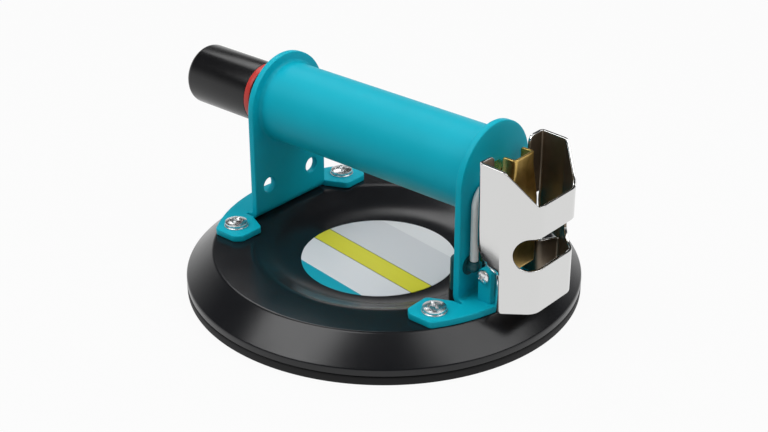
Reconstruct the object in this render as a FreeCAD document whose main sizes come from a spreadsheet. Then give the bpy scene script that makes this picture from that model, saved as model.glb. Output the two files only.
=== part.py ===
import FreeCAD, Part
import math
import os
from types import SimpleNamespace

import Sketcher

# Hand-pumped vacuum lifter for tiles and glass.
# Frame: the handle runs along X with the pump plunger at -X and the guarded release lever at +X,
# +Z is up, and the origin is on the floor under the centre of the round suction base.

DIMENSIONS = {
    # suction base
    "base_radius": 100.0,
    "lip_height": 4.4,
    "rim_height": 8.0,
    "flank_run": 13.8,
    "crest_height": 19.9,
    "crest_round": 2.0,
    "bowl_radius": 65.5,
    "bowl_floor_radius": 48.0,
    "bowl_floor": 12.0,
    "bowl_round": 14.0,
    "pad_step": 4.5,
    "pad_seat": 8.6,
    "cup_roof": 6.0,
    "lip_width": 3.0,
    "mouth_run": 9.0,
    "rib_height": 0.8,
    "rib_width": 2.4,
    "rib_pitch": 18.0,
    "parting_gap": 0.3,
    # label disc in the bowl
    "label_radius": 39.3,
    "label_thickness": 0.3,
    "label_shift_along": -1.0,
    "label_shift_across": -3.0,
    # bent sheet uprights
    "plate_thickness": 3.4,
    "upright_span": 128.8,
    "upright_radius": 26.0,
    "bend_radius": 2.0,
    "foot_reach": 86.2,
    "relief_width": 1.5,
    "relief_depth": 0.6,
    "notch_along": 66.0,
    "ear_inner_along": 54.0,
    "ear_near_across": 33.1,
    "ear_side_across": 46.5,
    "ear_tip_along": 57.5,
    "ear_tip_across": 49.8,
    "ear_round": 3.0,
    "side_hole_radius": 4.1,
    "side_hole_across": 15.8,
    "side_hole_height": 37.3,
    "feed_hole_across": 18.6,
    "feed_hole_height": 39.5,
    # tabs that carry the guard
    "tab_start": 74.0,
    "tab_end": 81.4,
    "tab_outer_across": 19.5,
    "tab_height": 41.0,
    "tab_round": 3.6,
    # handle tube
    "tube_height": 79.4,
    "tube_radius": 20.65,
    "tube_wall": 2.45,
    "weld_leg": 2.15,
    # fasteners of the feet
    "screw_along": 65.0,
    "screw_across": 40.3,
    "screw_radius": 2.2,
    "screw_head_radius": 5.8,
    "screw_head_height": 2.6,
    "screw_length": 10.0,
    "washer_radius": 6.2,
    "washer_thickness": 0.8,
    "insert_radius": 3.6,
    "insert_length": 8.0,
    # pump
    "barrel_radius": 18.0,
    "barrel_wall": 1.0,
    "head_block_length": 16.4,
    "bush_flange_radius": 22.0,
    "bush_flange_thickness": 4.0,
    "bush_sleeve_length": 12.8,
    "plunger_radius": 15.8,
    "plunger_wall": 2.5,
    "plunger_reach": 124.4,
    "plunger_round": 3.2,
    "ring_distance": 43.2,
    "ring_width": 3.6,
    "ring_depth": 0.9,
    "piston_length": 8.0,
    "piston_spigot": 7.3,
    "seal_width": 3.0,
    "seal_depth": 2.2,
    "spring_radius": 11.5,
    "spring_wire_radius": 0.7,
    "spring_turns": 9.0,
    "head_spigot": 8.0,
    "head_seal_width": 2.0,
    "head_seal_depth": 1.4,
    # release valve and air line
    "valve_shank_radius": 6.0,
    "valve_shank_length": 13.8,
    "valve_hub_radius": 7.0,
    "valve_hub_length": 5.4,
    "valve_cavity_radius": 4.0,
    "valve_seat_depth": 7.8,
    "stem_radius": 2.5,
    "stem_head_radius": 3.4,
    "stem_head_length": 2.0,
    "stem_button_radius": 3.2,
    "stem_button_length": 2.5,
    "stem_seal_thickness": 1.0,
    "valve_spring_radius": 3.2,
    "valve_spring_wire": 0.35,
    "valve_spring_turns": 4.0,
    "hose_radius": 2.0,
    "hose_bore_radius": 1.3,
    "hose_bend_radius": 9.5,
    "hose_standoff": 2.9,
    "nipple_length": 5.5,
    "elbow_radius": 2.9,
    "elbow_flange_radius": 4.8,
    "elbow_flange_thickness": 0.8,
    "elbow_barb_length": 9.0,
    "elbow_inner_reach": 3.9,
    "port_radius": 3.4,
    "port_height": 4.0,
    "port_sink": 3.0,
    # release lever
    "lever_face": 84.0,
    "lever_sheet": 1.5,
    "lever_top": 93.6,
    "lever_bottom": 35.5,
    "lever_top_width": 14.0,
    "lever_width": 23.2,
    "lever_shoulder_top": 86.0,
    "lever_shoulder_bottom": 68.0,
    "lever_flange_depth": 5.8,
    "lever_play": 0.45,
    "lever_pin_along": 79.0,
    "lever_pin_height": 42.5,
    "lever_pin_radius": 1.5,
    "lever_pin_length": 27.0,
    "bracket_sheet": 1.6,
    "bracket_width": 19.4,
    "bracket_height": 10.0,
    "rivet_spread": 9.0,
    "rivet_radius": 1.4,
    "rivet_head_radius": 2.4,
    "rivet_head_height": 1.2,
    # bent sheet guard
    "guard_sheet": 1.5,
    "guard_rear": 75.4,
    "guard_half_width": 24.6,
    "guard_corner_along": 90.6,
    "guard_front": 103.4,
    "guard_front_half": 14.7,
    "guard_top": 96.6,
    "guard_shoulder": 95.9,
    "guard_notch": 79.1,
    "guard_bottom": 24.2,
    "guard_step": 44.0,
    "guard_bend": 2.5,
    "guard_corner_bend": 4.0,
    "guard_fold_bend": 8.0,
    "guard_lip_gap": 27.2,
    "guard_lip_round": 6.0,
    "guard_trim_top": 65.0,
    "guard_trim_end": 87.6,
    "guard_trim_sag": 4.6,
    "slot_height": 16.4,
    "slot_level": 54.9,
    "slot_reach": 11.2,
    "flange_start": 73.4,
    "flange_joggle": 83.0,
    "skirt_start": 87.7,
    "flange_bottom": 26.0,
    "guard_screw_along": 77.4,
    "guard_screw_height": 37.1,
    "guard_screw_radius": 1.5,
    "guard_screw_head": 3.3,
    "guard_screw_head_height": 2.2,
    "nut_thickness": 2.3,
    "nut_radius": 3.1,
    # clearances
    "seat_gap": 0.05,
    "slide_gap": 0.08,
    "hole_gap": 0.2,
    "rest_gap": 0.3,
}


class Size:
    """A length together with the sheet expression that gives it."""

    def __init__(self, value, text):
        self.value = value
        self.text = text

    def combined(self, other, sign, value):
        return Size(value, f"({self.text} {sign} {as_size(other).text})")

    def __add__(self, other):
        return self.combined(other, "+", self.value + as_size(other).value)

    def __radd__(self, other):
        return as_size(other) + self

    def __sub__(self, other):
        return self.combined(other, "-", self.value - as_size(other).value)

    def __rsub__(self, other):
        return as_size(other) - self

    def __mul__(self, other):
        return self.combined(other, "*", self.value * as_size(other).value)

    def __rmul__(self, other):
        return as_size(other) * self

    def __truediv__(self, other):
        return self.combined(other, "/", self.value / as_size(other).value)

    def __neg__(self):
        return Size(-self.value, f"(0 - {self.text})")

    def __float__(self):
        return float(self.value)


def as_size(number):
    if isinstance(number, Size):
        return number
    return Size(float(number), f"{float(number):g}" if number >= 0 else f"(0 - {-float(number):g})")


doc = FreeCAD.newDocument("SuctionLifter")
sheet = doc.addObject("Spreadsheet::Sheet", "Dims")
for row, (alias, number) in enumerate(DIMENSIONS.items(), start=1):
    sheet.set(f"A{row}", alias)
    sheet.set(f"B{row}", f"{number:g}")
    sheet.setAlias(f"B{row}", alias)
doc.recompute()

d = SimpleNamespace(**{alias: Size(float(sheet.get(alias)), f"Dims.{alias}") for alias in DIMENSIONS})
nodes = {}

# Places that several pieces share.
crest_radius = d.base_radius - d.flank_run
pad_seat_radius = d.base_radius - d.pad_step
cup_mouth_radius = d.base_radius - d.lip_width
cup_roof_radius = cup_mouth_radius - d.mouth_run
inner_face = d.upright_span / 2
outer_face = inner_face + d.plate_thickness
plate_top = d.crest_height + d.plate_thickness
tube_bore = d.tube_radius - d.tube_wall
barrel_bore = d.barrel_radius - d.barrel_wall
barrel_end = inner_face - d.head_block_length
plunger_end = outer_face - d.bush_sleeve_length - d.rest_gap
piston_face = d.piston_length - plunger_end
hose_along = outer_face + d.hose_standoff
hose_arc_start = d.tube_height - d.hose_bend_radius
elbow_along = inner_face - d.elbow_inner_reach
tab_inner = d.tab_outer_across - d.plate_thickness
flange_inner = tab_inner - d.guard_sheet
hub_face = outer_face + d.valve_hub_length
button_back = d.lever_face - d.lever_sheet - d.lever_play - d.stem_button_length
seat_face = outer_face - d.valve_seat_depth
slot_bottom = d.slot_level - d.slot_height / 2


# ---- helpers -------------------------------------------------------------------------------

def bind(thing, prop, size):
    """Ties one property to its sheet expression."""
    thing.setExpression(prop, as_size(size).text)


def place(thing, along=0, across=0, up=0):
    for axis, size in (("x", along), ("y", across), ("z", up)):
        bind(thing, f"Placement.Base.{axis}", size)


def publish(name, thing):
    """Names the finished sub-part."""
    thing.Label = name
    nodes[name] = thing
    return thing


def origin_plane(body, role):
    return next(item for item in body.Origin.OriginFeatures if item.Role == role)


def flat_sketch(body, role, offset=0):
    sketch = body.newObject("Sketcher::SketchObject", body.Name + "Sketch")
    sketch.AttachmentSupport = [(origin_plane(body, role), "")]
    sketch.MapMode = "FlatFace"
    bind(sketch, "AttachmentOffset.Base.z", offset)
    return sketch


def fix_point(sketch, geometry, corner, across, up):
    for kind, size in (("DistanceX", across), ("DistanceY", up)):
        if size is None:
            continue
        index = sketch.addConstraint(Sketcher.Constraint(kind, -1, 1, geometry, corner, float(size)))
        bind(sketch, f"Constraints[{index}]", size)


def draw_polygon(sketch, corners):
    """Straight-sided closed outline whose corners are tied to the sheet."""
    points = [FreeCAD.Vector(float(x), float(y), 0) for x, y in corners]
    first = sketch.GeometryCount
    count = len(points)
    for index, point in enumerate(points):
        sketch.addGeometry(Part.LineSegment(point, points[(index + 1) % count]), False)
    for index in range(count):
        following = first + (index + 1) % count
        sketch.addConstraint(Sketcher.Constraint("Coincident", first + index, 2, following, 1))
    for index, (x, y) in enumerate(corners):
        fix_point(sketch, first + index, 1, x, y)


def draw_circle(sketch, x, y, radius):
    circle = Part.Circle(FreeCAD.Vector(float(x), float(y), 0), FreeCAD.Vector(0, 0, 1), float(radius))
    index = sketch.addGeometry(circle, False)
    fix_point(sketch, index, 3, x, y)
    rule = sketch.addConstraint(Sketcher.Constraint("Radius", index, float(radius)))
    bind(sketch, f"Constraints[{rule}]", radius)


def new_body(name):
    return doc.addObject("PartDesign::Body", name)


def turned(name, profile, axis, at=(0, 0, 0)):
    """Body turned from a half profile of (distance along the axis, radius) corners."""
    body = new_body(name)
    roles = {"x": "XZ_Plane", "y": "YZ_Plane", "z": "XZ_Plane"}
    sketch = flat_sketch(body, roles[axis])
    corners = [(r, a) if axis == "z" else (a, r) for a, r in profile]
    draw_polygon(sketch, corners)
    turn = body.newObject("PartDesign::Revolution", name + "Turn")
    turn.Profile = sketch
    turn.ReferenceAxis = (sketch, ["V_Axis" if axis == "z" else "H_Axis"])
    turn.Angle = 360
    place(body, *at)
    doc.recompute()
    return body


def pad(body, sketch, length, centred=False):
    feature = body.newObject("PartDesign::Pad", body.Name + "Pad")
    feature.Profile = sketch
    feature.Midplane = centred
    bind(feature, "Length", length)
    doc.recompute()
    return feature


def pocket_through(body, sketch):
    """Cuts the sketch right through the body, both ways."""
    before = body.Shape.Volume
    feature = body.newObject("PartDesign::Pocket", body.Name + "Pocket")
    feature.Profile = sketch
    feature.Type = "ThroughAll"
    feature.Midplane = True
    doc.recompute()
    if body.Shape.Volume >= before:
        raise RuntimeError(f"{body.Name}: pocket removed nothing")
    return feature


def round_edges(body, radius, wanted):
    """Fillets the edges of the body's tip that the test picks out."""
    base = body.Tip
    names = [f"Edge{index}" for index, edge in enumerate(base.Shape.Edges, start=1) if wanted(edge)]
    if not names:
        raise RuntimeError(f"{body.Name}: no edge to round")
    feature = body.newObject("PartDesign::Fillet", body.Name + "Round")
    feature.Base = (base, names)
    bind(feature, "Radius", radius)
    doc.recompute()
    return feature


def near(first, second, slack=0.01):
    return abs(float(first) - float(second)) < slack


def is_ring(edge, axis, level, radius):
    """True for a full circle of the radius about the body's own axis at the level."""
    curve = edge.Curve
    if not isinstance(curve, Part.Circle) or not near(curve.Radius, radius):
        return False
    centre = (curve.Center.x, curve.Center.y, curve.Center.z)
    return near(centre["xyz".index(axis)], level) and near(edge.Length, 2 * math.pi * curve.Radius, 0.1)


def runs_along(edge, axis):
    if not isinstance(edge.Curve, Part.Line):
        return False
    direction = edge.Curve.Direction
    return abs((direction.x, direction.y, direction.z)["xyz".index(axis)]) > 0.999


def middle(edge):
    box = edge.BoundBox
    return FreeCAD.Vector((box.XMin + box.XMax) / 2, (box.YMin + box.YMax) / 2, (box.ZMin + box.ZMax) / 2)


def rod(name, axis, start, end, radius, at):
    """Part cylinder from start to end along an axis, with the other two coordinates in at."""
    cylinder = doc.addObject("Part::Cylinder", name)
    bind(cylinder, "Radius", radius)
    bind(cylinder, "Height", as_size(end) - start)
    turns = {"x": ((0, 1, 0), 90), "y": ((1, 0, 0), -90), "z": ((0, 0, 1), 0)}
    direction, angle = turns[axis]
    cylinder.Placement.Rotation = FreeCAD.Rotation(FreeCAD.Vector(*direction), angle)
    where = {"x": (start, *at), "y": (at[0], start, at[1]), "z": (*at, start)}
    place(cylinder, *where[axis])
    return cylinder


def fused(name, pieces):
    union = doc.addObject("Part::MultiFuse", name)
    union.Shapes = pieces
    union.Refine = True
    return union


def cut(name, base, tools):
    result = doc.addObject("Part::Cut", name)
    result.Base = base
    result.Tool = tools[0] if len(tools) == 1 else fused(name + "Tools", tools)
    return result


def shaped(name, shape):
    """Sub-part whose form is worked out from the sheet values below."""
    feature = doc.addObject("Part::Feature", name)
    feature.Shape = shape
    feature.Placement = shape.Placement
    return publish(name, feature)


def vector(x=0, y=0, z=0):
    return FreeCAD.Vector(float(x), float(y), float(z))


def solid_rod(start, end, radius):
    span = end - start
    return Part.makeCylinder(float(radius), span.Length, start, span)


def prism(corners, sweep):
    """Straight prism over a closed outline of points."""
    wire = Part.makePolygon(corners + corners[:1])
    return Part.Face(wire).extrude(sweep)


def softened(solid, radius, wanted):
    edges = [edge for edge in solid.Edges if wanted(edge)]
    return solid.makeFillet(float(radius), edges)


# ---- suction base --------------------------------------------------------------------------

def base_plate():
    """Moulded plate: stepped rim, coned flank, flat crest and a dished middle."""
    lower = d.lip_height + d.parting_gap
    profile = [
        (d.pad_seat, 0), (d.pad_seat, pad_seat_radius), (lower, pad_seat_radius),
        (lower, d.base_radius), (d.rim_height, d.base_radius), (d.crest_height, crest_radius),
        (d.crest_height, d.bowl_radius), (d.bowl_floor, d.bowl_floor_radius), (d.bowl_floor, 0),
    ]
    body = turned("base_blank", profile, "z")
    round_edges(body, d.crest_round, lambda e: is_ring(e, "z", d.crest_height, crest_radius)
                or is_ring(e, "z", d.crest_height, d.bowl_radius)
                or is_ring(e, "z", d.rim_height, d.base_radius))
    round_edges(body, d.bowl_round, lambda e: is_ring(e, "z", d.bowl_floor, d.bowl_floor_radius))
    bottom = d.crest_height - d.insert_length
    holes = []
    for side in (-1, 1):
        for hand in (-1, 1):
            holes.append(rod("base_insert_hole", "z", bottom, d.crest_height + 1,
                             d.insert_radius + d.seat_gap, (side * d.screw_along, hand * d.screw_across)))
    holes.append(rod("base_port_hole", "z", 0, d.crest_height + 1, d.elbow_radius + d.seat_gap,
                     (elbow_along, -d.feed_hole_across)))
    holes.append(rod("base_port_sink", "z", d.crest_height - d.port_sink, d.crest_height + 1,
                     d.port_radius + d.seat_gap, (elbow_along, -d.feed_hole_across)))
    publish("base_plate", cut("base_cut", body, holes))


def vacuum_pad():
    """Rubber pad: sealing lip, coned mouth and low grip ribs round a shallow cup."""
    rib = d.cup_roof - d.rib_height
    profile = [(0, d.base_radius), (0, cup_mouth_radius), (d.cup_roof, cup_roof_radius)]
    for count in (4, 3, 2):
        outer = d.rib_pitch * count + d.rib_width / 2
        inner = d.rib_pitch * count - d.rib_width / 2
        profile += [(d.cup_roof, outer), (rib, outer), (rib, inner), (d.cup_roof, inner)]
    profile += [
        (d.cup_roof, 0), (d.pad_seat, 0), (d.pad_seat, pad_seat_radius - d.seat_gap),
        (d.lip_height, pad_seat_radius - d.seat_gap), (d.lip_height, d.base_radius),
    ]
    body = turned("pad_blank", profile, "z")
    round_edges(body, d.lip_height / 4, lambda e: is_ring(e, "z", d.lip_height, d.base_radius))
    hole = rod("pad_port_hole", "z", d.cup_roof - 1, d.pad_seat + 1, d.elbow_radius + d.seat_gap,
               (elbow_along, -d.feed_hole_across))
    publish("vacuum_pad", cut("pad_cut", body, [hole]))


def label_disc():
    disc = rod("label_blank", "z", d.bowl_floor, d.bowl_floor + d.label_thickness, d.label_radius,
               (d.label_shift_along, d.label_shift_across))
    publish("label_disc", disc)


def base_port():
    """Socket sunk in the crest that takes the foot of the feed elbow down through base and pad."""
    reach = d.crest_height - d.cup_roof
    profile = [
        (-reach, d.hose_bore_radius), (-reach, d.elbow_radius), (-d.port_sink, d.elbow_radius),
        (-d.port_sink, d.port_radius), (d.port_height, d.port_radius), (d.port_height, d.elbow_radius / 2 + 1),
        (d.port_height / 4, d.elbow_radius / 2 + 1), (d.port_height / 4, d.hose_bore_radius),
    ]
    body = turned("base_port_body", profile, "z", (elbow_along, -d.feed_hole_across, d.crest_height))
    publish("base_port", body)


# ---- handle frame --------------------------------------------------------------------------

def foot_outline(sketch):
    """Foot plate between its two ears, with a rim concentric with the base."""
    relief = outer_face + d.bend_radius + d.relief_depth
    notch = d.upright_radius + d.relief_width
    half = [
        (relief, d.upright_radius), (relief, notch), (d.notch_along, notch),
        (d.ear_inner_along, d.ear_near_across), (d.ear_inner_along, d.ear_side_across),
        (d.ear_tip_along, d.ear_tip_across), (None, d.ear_tip_across),
    ]
    rim_along = math.sqrt(float(d.foot_reach) ** 2 - float(d.ear_tip_across) ** 2)
    loop = [(x, -y) for x, y in half] + list(reversed(half))
    points = [vector(rim_along if x is None else x, y) for x, y in loop]
    rim_index = len(half) - 1
    for index, point in enumerate(points):
        following = points[(index + 1) % len(points)]
        if index == rim_index:
            rim = Part.Arc(point, vector(d.foot_reach, 0), following)
            sketch.addGeometry(rim, False)
        else:
            sketch.addGeometry(Part.LineSegment(point, following), False)
    for index in range(len(points)):
        sketch.addConstraint(Sketcher.Constraint("Coincident", index, 2, (index + 1) % len(points), 1))
    for index, (x, y) in enumerate(loop):
        fix_point(sketch, index, 1, x, y)
    sketch.addConstraint(Sketcher.Constraint("Coincident", rim_index, 3, -1, 1))
    rule = sketch.addConstraint(Sketcher.Constraint("Radius", rim_index, float(d.foot_reach)))
    bind(sketch, f"Constraints[{rule}]", d.foot_reach)


def upright_body(name):
    """Bent plate: a full-round wall on a foot with two eared ends, drawn for the +X side."""
    body = new_body(name)
    angle = flat_sketch(body, "XZ_Plane")
    shelf = outer_face + d.bend_radius + d.relief_depth + 1
    draw_polygon(angle, [
        (inner_face, d.crest_height), (shelf, d.crest_height), (shelf, plate_top),
        (outer_face, plate_top), (outer_face, d.tube_height), (inner_face, d.tube_height),
    ])
    pad(body, angle, d.upright_radius * 2, centred=True)
    inside = vector(outer_face, 0, plate_top)
    outside = vector(inner_face, 0, d.crest_height)
    round_edges(body, d.bend_radius, lambda e: runs_along(e, "y") and middle(e).isEqual(inside, 0.01))
    round_edges(body, d.bend_radius + d.plate_thickness,
                lambda e: runs_along(e, "y") and middle(e).isEqual(outside, 0.01))
    crown = flat_sketch(body, "YZ_Plane", inner_face)
    draw_circle(crown, 0, d.tube_height, d.upright_radius)
    pad(body, crown, d.plate_thickness)
    foot = flat_sketch(body, "XY_Plane", d.crest_height)
    foot_outline(foot)
    pad(body, foot, d.plate_thickness)
    round_edges(body, d.ear_round, lambda e: runs_along(e, "z") and abs(middle(e).y) > float(d.ear_near_across) - 0.1)
    screws = flat_sketch(body, "XY_Plane", d.crest_height)
    for hand in (-1, 1):
        draw_circle(screws, d.screw_along, hand * d.screw_across, d.screw_radius + d.hole_gap)
    pocket_through(body, screws)
    return body


def pump_upright():
    """Left upright: the same bent plate turned half a turn, bored for the pump barrel."""
    body = upright_body("pump_upright_body")
    bore = flat_sketch(body, "YZ_Plane", inner_face)
    draw_circle(bore, 0, d.tube_height, tube_bore)
    for hand in (-1, 1):
        draw_circle(bore, hand * d.side_hole_across, d.side_hole_height, d.side_hole_radius)
    pocket_through(body, bore)
    body.Placement.Rotation = FreeCAD.Rotation(vector(0, 0, 1), 180)
    publish("pump_upright", body)


def valve_upright():
    """Right upright, with two tabs on its foot for the guard and bores for valve and rivets."""
    body = upright_body("valve_upright_body")
    bores = flat_sketch(body, "YZ_Plane", inner_face)
    draw_circle(bores, 0, d.tube_height, d.valve_shank_radius + d.hole_gap)
    draw_circle(bores, -d.feed_hole_across, d.feed_hole_height, d.side_hole_radius)
    for hand in (-1, 1):
        draw_circle(bores, hand * d.rivet_spread / 2, d.lever_pin_height, d.rivet_radius + d.seat_gap)
    pocket_through(body, bores)
    for hand in (-1, 1):
        tab = flat_sketch(body, "XZ_Plane", -hand * d.tab_outer_across if hand > 0 else tab_inner)
        draw_polygon(tab, [(d.tab_start, d.crest_height), (d.tab_end, d.crest_height),
                           (d.tab_end, d.tab_height), (d.tab_start, d.tab_height)])
        pad(body, tab, d.plate_thickness)
    round_edges(body, d.tab_round, lambda e: runs_along(e, "y") and near(middle(e).z, d.tab_height))
    screws = flat_sketch(body, "XZ_Plane")
    draw_circle(screws, d.guard_screw_along, d.guard_screw_height, d.guard_screw_radius + d.hole_gap)
    pocket_through(body, screws)
    publish("valve_upright", body)


def handle_tube():
    """Tube between the uprights with a weld fillet at each end."""
    shoulder = inner_face - d.weld_leg
    root = d.tube_radius + d.weld_leg
    body = turned("handle_tube_body", [
        (-inner_face, tube_bore), (-inner_face, root), (-shoulder, d.tube_radius),
        (shoulder, d.tube_radius), (inner_face, root), (inner_face, tube_bore),
    ], "x", (0, 0, d.tube_height))
    publish("handle_tube", body)


def at_feet(name, build):
    """One node for the four equal pieces under the screws of the feet."""
    pieces = [build(f"{name}_{side}{hand}", along * d.screw_along, across * d.screw_across)
              for side, along in (("l", -1), ("r", 1)) for hand, across in (("n", -1), ("f", 1))]
    group = doc.addObject("Part::Compound", name + "_group")
    group.Links = pieces
    publish(name, group)


def foot_insert(name, along, across):
    length = d.insert_length
    return turned(name, [(-length, d.screw_radius + d.seat_gap), (-length, d.insert_radius),
                         (0, d.insert_radius), (0, d.screw_radius + d.seat_gap)],
                  "z", (along, across, d.crest_height))


def foot_washer(name, along, across):
    thickness = d.washer_thickness
    return turned(name, [(0, d.screw_radius + d.hole_gap), (0, d.washer_radius),
                         (thickness / 2, d.washer_radius), (thickness, d.washer_radius - thickness / 2),
                         (thickness, d.screw_radius + d.hole_gap)],
                  "z", (along, across, plate_top))


def foot_screw(name, along, across):
    """Pan-head screw: the head is stepped in to a crown."""
    head = d.screw_head_height
    return turned(name, [(-d.screw_length, 0), (-d.screw_length, d.screw_radius * 0.7),
                         (-d.screw_length + d.screw_radius, d.screw_radius), (0, d.screw_radius),
                         (0, d.screw_head_radius), (head * 0.6, d.screw_head_radius),
                         (head * 0.9, d.screw_head_radius * 0.8), (head, d.screw_head_radius * 0.5), (head, 0)],
                  "z", (along, across, plate_top + d.washer_thickness))


# ---- pump ----------------------------------------------------------------------------------

def on_handle_axis(name, profile, rounds=()):
    """Piece turned about the handle axis."""
    body = turned(name + "_body", profile, "x", (0, 0, d.tube_height))
    for radius, level, ring in rounds:
        round_edges(body, radius, lambda e: is_ring(e, "x", level, ring))
    return publish(name, body)


def pump():
    """Barrel in the tube, guide bush, plunger with its ring, piston, seal and spring."""
    on_handle_axis("pump_barrel", [
        (-outer_face, barrel_bore), (-outer_face, d.barrel_radius),
        (barrel_end, d.barrel_radius), (barrel_end, barrel_bore),
    ])
    bush_bore = d.plunger_radius + d.slide_gap
    sleeve_end = d.bush_sleeve_length - outer_face
    flange_face = -outer_face - d.bush_flange_thickness
    on_handle_axis("front_bush", [
        (flange_face, bush_bore), (flange_face, d.bush_flange_radius), (-outer_face, d.bush_flange_radius),
        (-outer_face, barrel_bore - d.seat_gap), (sleeve_end, barrel_bore - d.seat_gap), (sleeve_end, bush_bore),
    ], [(1, flange_face, d.bush_flange_radius)])
    ring_start = d.ring_distance - d.plunger_reach
    ring_end = ring_start + d.ring_width
    groove = d.plunger_radius - d.ring_depth
    bore = d.plunger_radius - d.plunger_wall
    on_handle_axis("plunger", [
        (-d.plunger_reach, 0), (-d.plunger_reach, d.plunger_radius), (ring_start, d.plunger_radius),
        (ring_start, groove), (ring_end, groove), (ring_end, d.plunger_radius),
        (-plunger_end, d.plunger_radius), (-plunger_end, bore),
        (d.plunger_wall - d.plunger_reach, bore), (d.plunger_wall - d.plunger_reach, 0),
    ], [(d.plunger_round, -d.plunger_reach, d.plunger_radius)])
    on_handle_axis("indicator_ring", [
        (ring_start, groove), (ring_start, d.plunger_radius), (ring_end, d.plunger_radius), (ring_end, groove),
    ])
    seal_start = (piston_face - plunger_end) / 2 - d.seal_width / 2
    seal_end = seal_start + d.seal_width
    piston_radius = barrel_bore - d.slide_gap
    seal_root = piston_radius - d.seal_depth
    on_handle_axis("piston", [
        (-plunger_end - d.piston_spigot, 0), (-plunger_end - d.piston_spigot, bore - d.seat_gap),
        (-plunger_end, bore - d.seat_gap), (-plunger_end, piston_radius), (seal_start, piston_radius),
        (seal_start, seal_root), (seal_end, seal_root), (seal_end, piston_radius),
        (piston_face, piston_radius), (piston_face, 0),
    ])
    on_handle_axis("piston_seal", [
        (seal_start, seal_root), (seal_start, barrel_bore - d.seat_gap),
        (seal_end, barrel_bore - d.seat_gap), (seal_end, seal_root),
    ])


def barrel_head():
    """Plug that closes the barrel and takes the valve body's shank."""
    spigot = barrel_end - d.head_spigot
    seal_start = spigot + d.head_spigot / 2 - d.head_seal_width / 2
    seal_end = seal_start + d.head_seal_width
    neck = barrel_bore - d.seat_gap
    seal_root = neck - d.head_seal_depth
    shank_end = outer_face - d.valve_shank_length
    socket = shank_end - d.valve_cavity_radius
    bore = d.valve_shank_radius + d.seat_gap
    on_handle_axis("barrel_head", [
        (spigot, d.stem_radius), (spigot, neck), (seal_start, neck), (seal_start, seal_root),
        (seal_end, seal_root), (seal_end, neck), (barrel_end, neck), (barrel_end, d.barrel_radius),
        (inner_face, d.barrel_radius), (inner_face, bore), (socket, bore), (socket, d.stem_radius),
    ])
    on_handle_axis("head_seal", [
        (seal_start, seal_root), (seal_start, neck), (seal_end, neck), (seal_end, seal_root),
    ])


def coil(start, end, radius, wire, turns):
    """Compression spring about the handle axis: a six-sided wire carried round the helix between its seats."""
    sides = 6
    steps = round(14 * float(turns))
    rings = []
    for step in range(steps + 1):
        turn = 2 * math.pi * float(turns) * step / steps
        along = float(start) + float(wire) + (float(end) - float(start) - 2 * float(wire)) * step / steps
        ring = []
        for side in range(sides):
            way = 2 * math.pi * side / sides
            out = float(radius) + float(wire) * math.cos(way)
            ring.append(vector(along + float(wire) * math.sin(way), out * math.cos(turn),
                               float(d.tube_height) + out * math.sin(turn)))
        rings.append(ring)
    faces = [Part.Face(Part.makePolygon(ring + ring[:1])) for ring in (rings[0], rings[-1])]
    for ring, following in zip(rings, rings[1:]):
        for side in range(sides):
            beside = (side + 1) % sides
            low, high = [ring[side], following[side], following[beside]], [ring[side], following[beside], ring[beside]]
            faces += [Part.Face(Part.makePolygon(corners + corners[:1])) for corners in (low, high)]
    shell = Part.makeShell(faces)
    shell.sewShape()
    spring = Part.makeSolid(shell)
    if spring.Volume < 0:
        spring.reverse()
    return spring


def springs():
    shaped("plunger_spring", coil(piston_face + d.seat_gap, barrel_end - d.head_spigot, d.spring_radius,
                                  d.spring_wire_radius, d.spring_turns))
    shaped("valve_spring", coil(hub_face, button_back - d.seat_gap, d.valve_spring_radius,
                                d.valve_spring_wire, d.valve_spring_turns))


# ---- release valve and air line ------------------------------------------------------------

def valve_body():
    """Brass body screwed into the barrel head, with a bored shank and a side nipple."""
    shank_end = outer_face - d.valve_shank_length
    bore = d.stem_radius + d.slide_gap
    turned_body = turned("valve_body_turned", [
        (shank_end, d.valve_cavity_radius), (shank_end, d.valve_shank_radius),
        (outer_face, d.valve_shank_radius), (outer_face, d.valve_hub_radius),
        (hub_face, d.valve_hub_radius), (hub_face, bore), (seat_face, bore),
        (seat_face, d.valve_cavity_radius),
    ], "x", (0, 0, d.tube_height))
    root = -d.valve_hub_radius / 2
    nipple_tip = root - d.nipple_length
    nipple = rod("valve_nipple", "y", nipple_tip, root, d.hose_bore_radius - d.seat_gap,
                 (hose_along, d.tube_height))
    publish("valve_body", fused("valve_body_fused", [turned_body, nipple]))


def valve_stem():
    """Stem with its button outside and its sealing head inside the body."""
    head_end = seat_face - d.stem_seal_thickness
    head_start = head_end - d.stem_head_length
    button_end = button_back + d.stem_button_length
    on_handle_axis("valve_stem", [
        (head_start, 0), (head_start, d.stem_head_radius), (head_end, d.stem_head_radius),
        (head_end, d.stem_radius), (button_back, d.stem_radius), (button_back, d.stem_button_radius),
        (button_end, d.stem_button_radius), (button_end, 0),
    ], [(d.stem_button_length * 0.6, button_end, d.stem_button_radius)])
    on_handle_axis("stem_seal", [
        (head_end, d.stem_radius + d.seat_gap), (head_end, d.stem_head_radius),
        (seat_face - d.seat_gap, d.stem_head_radius), (seat_face - d.seat_gap, d.stem_radius + d.seat_gap),
    ])


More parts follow.
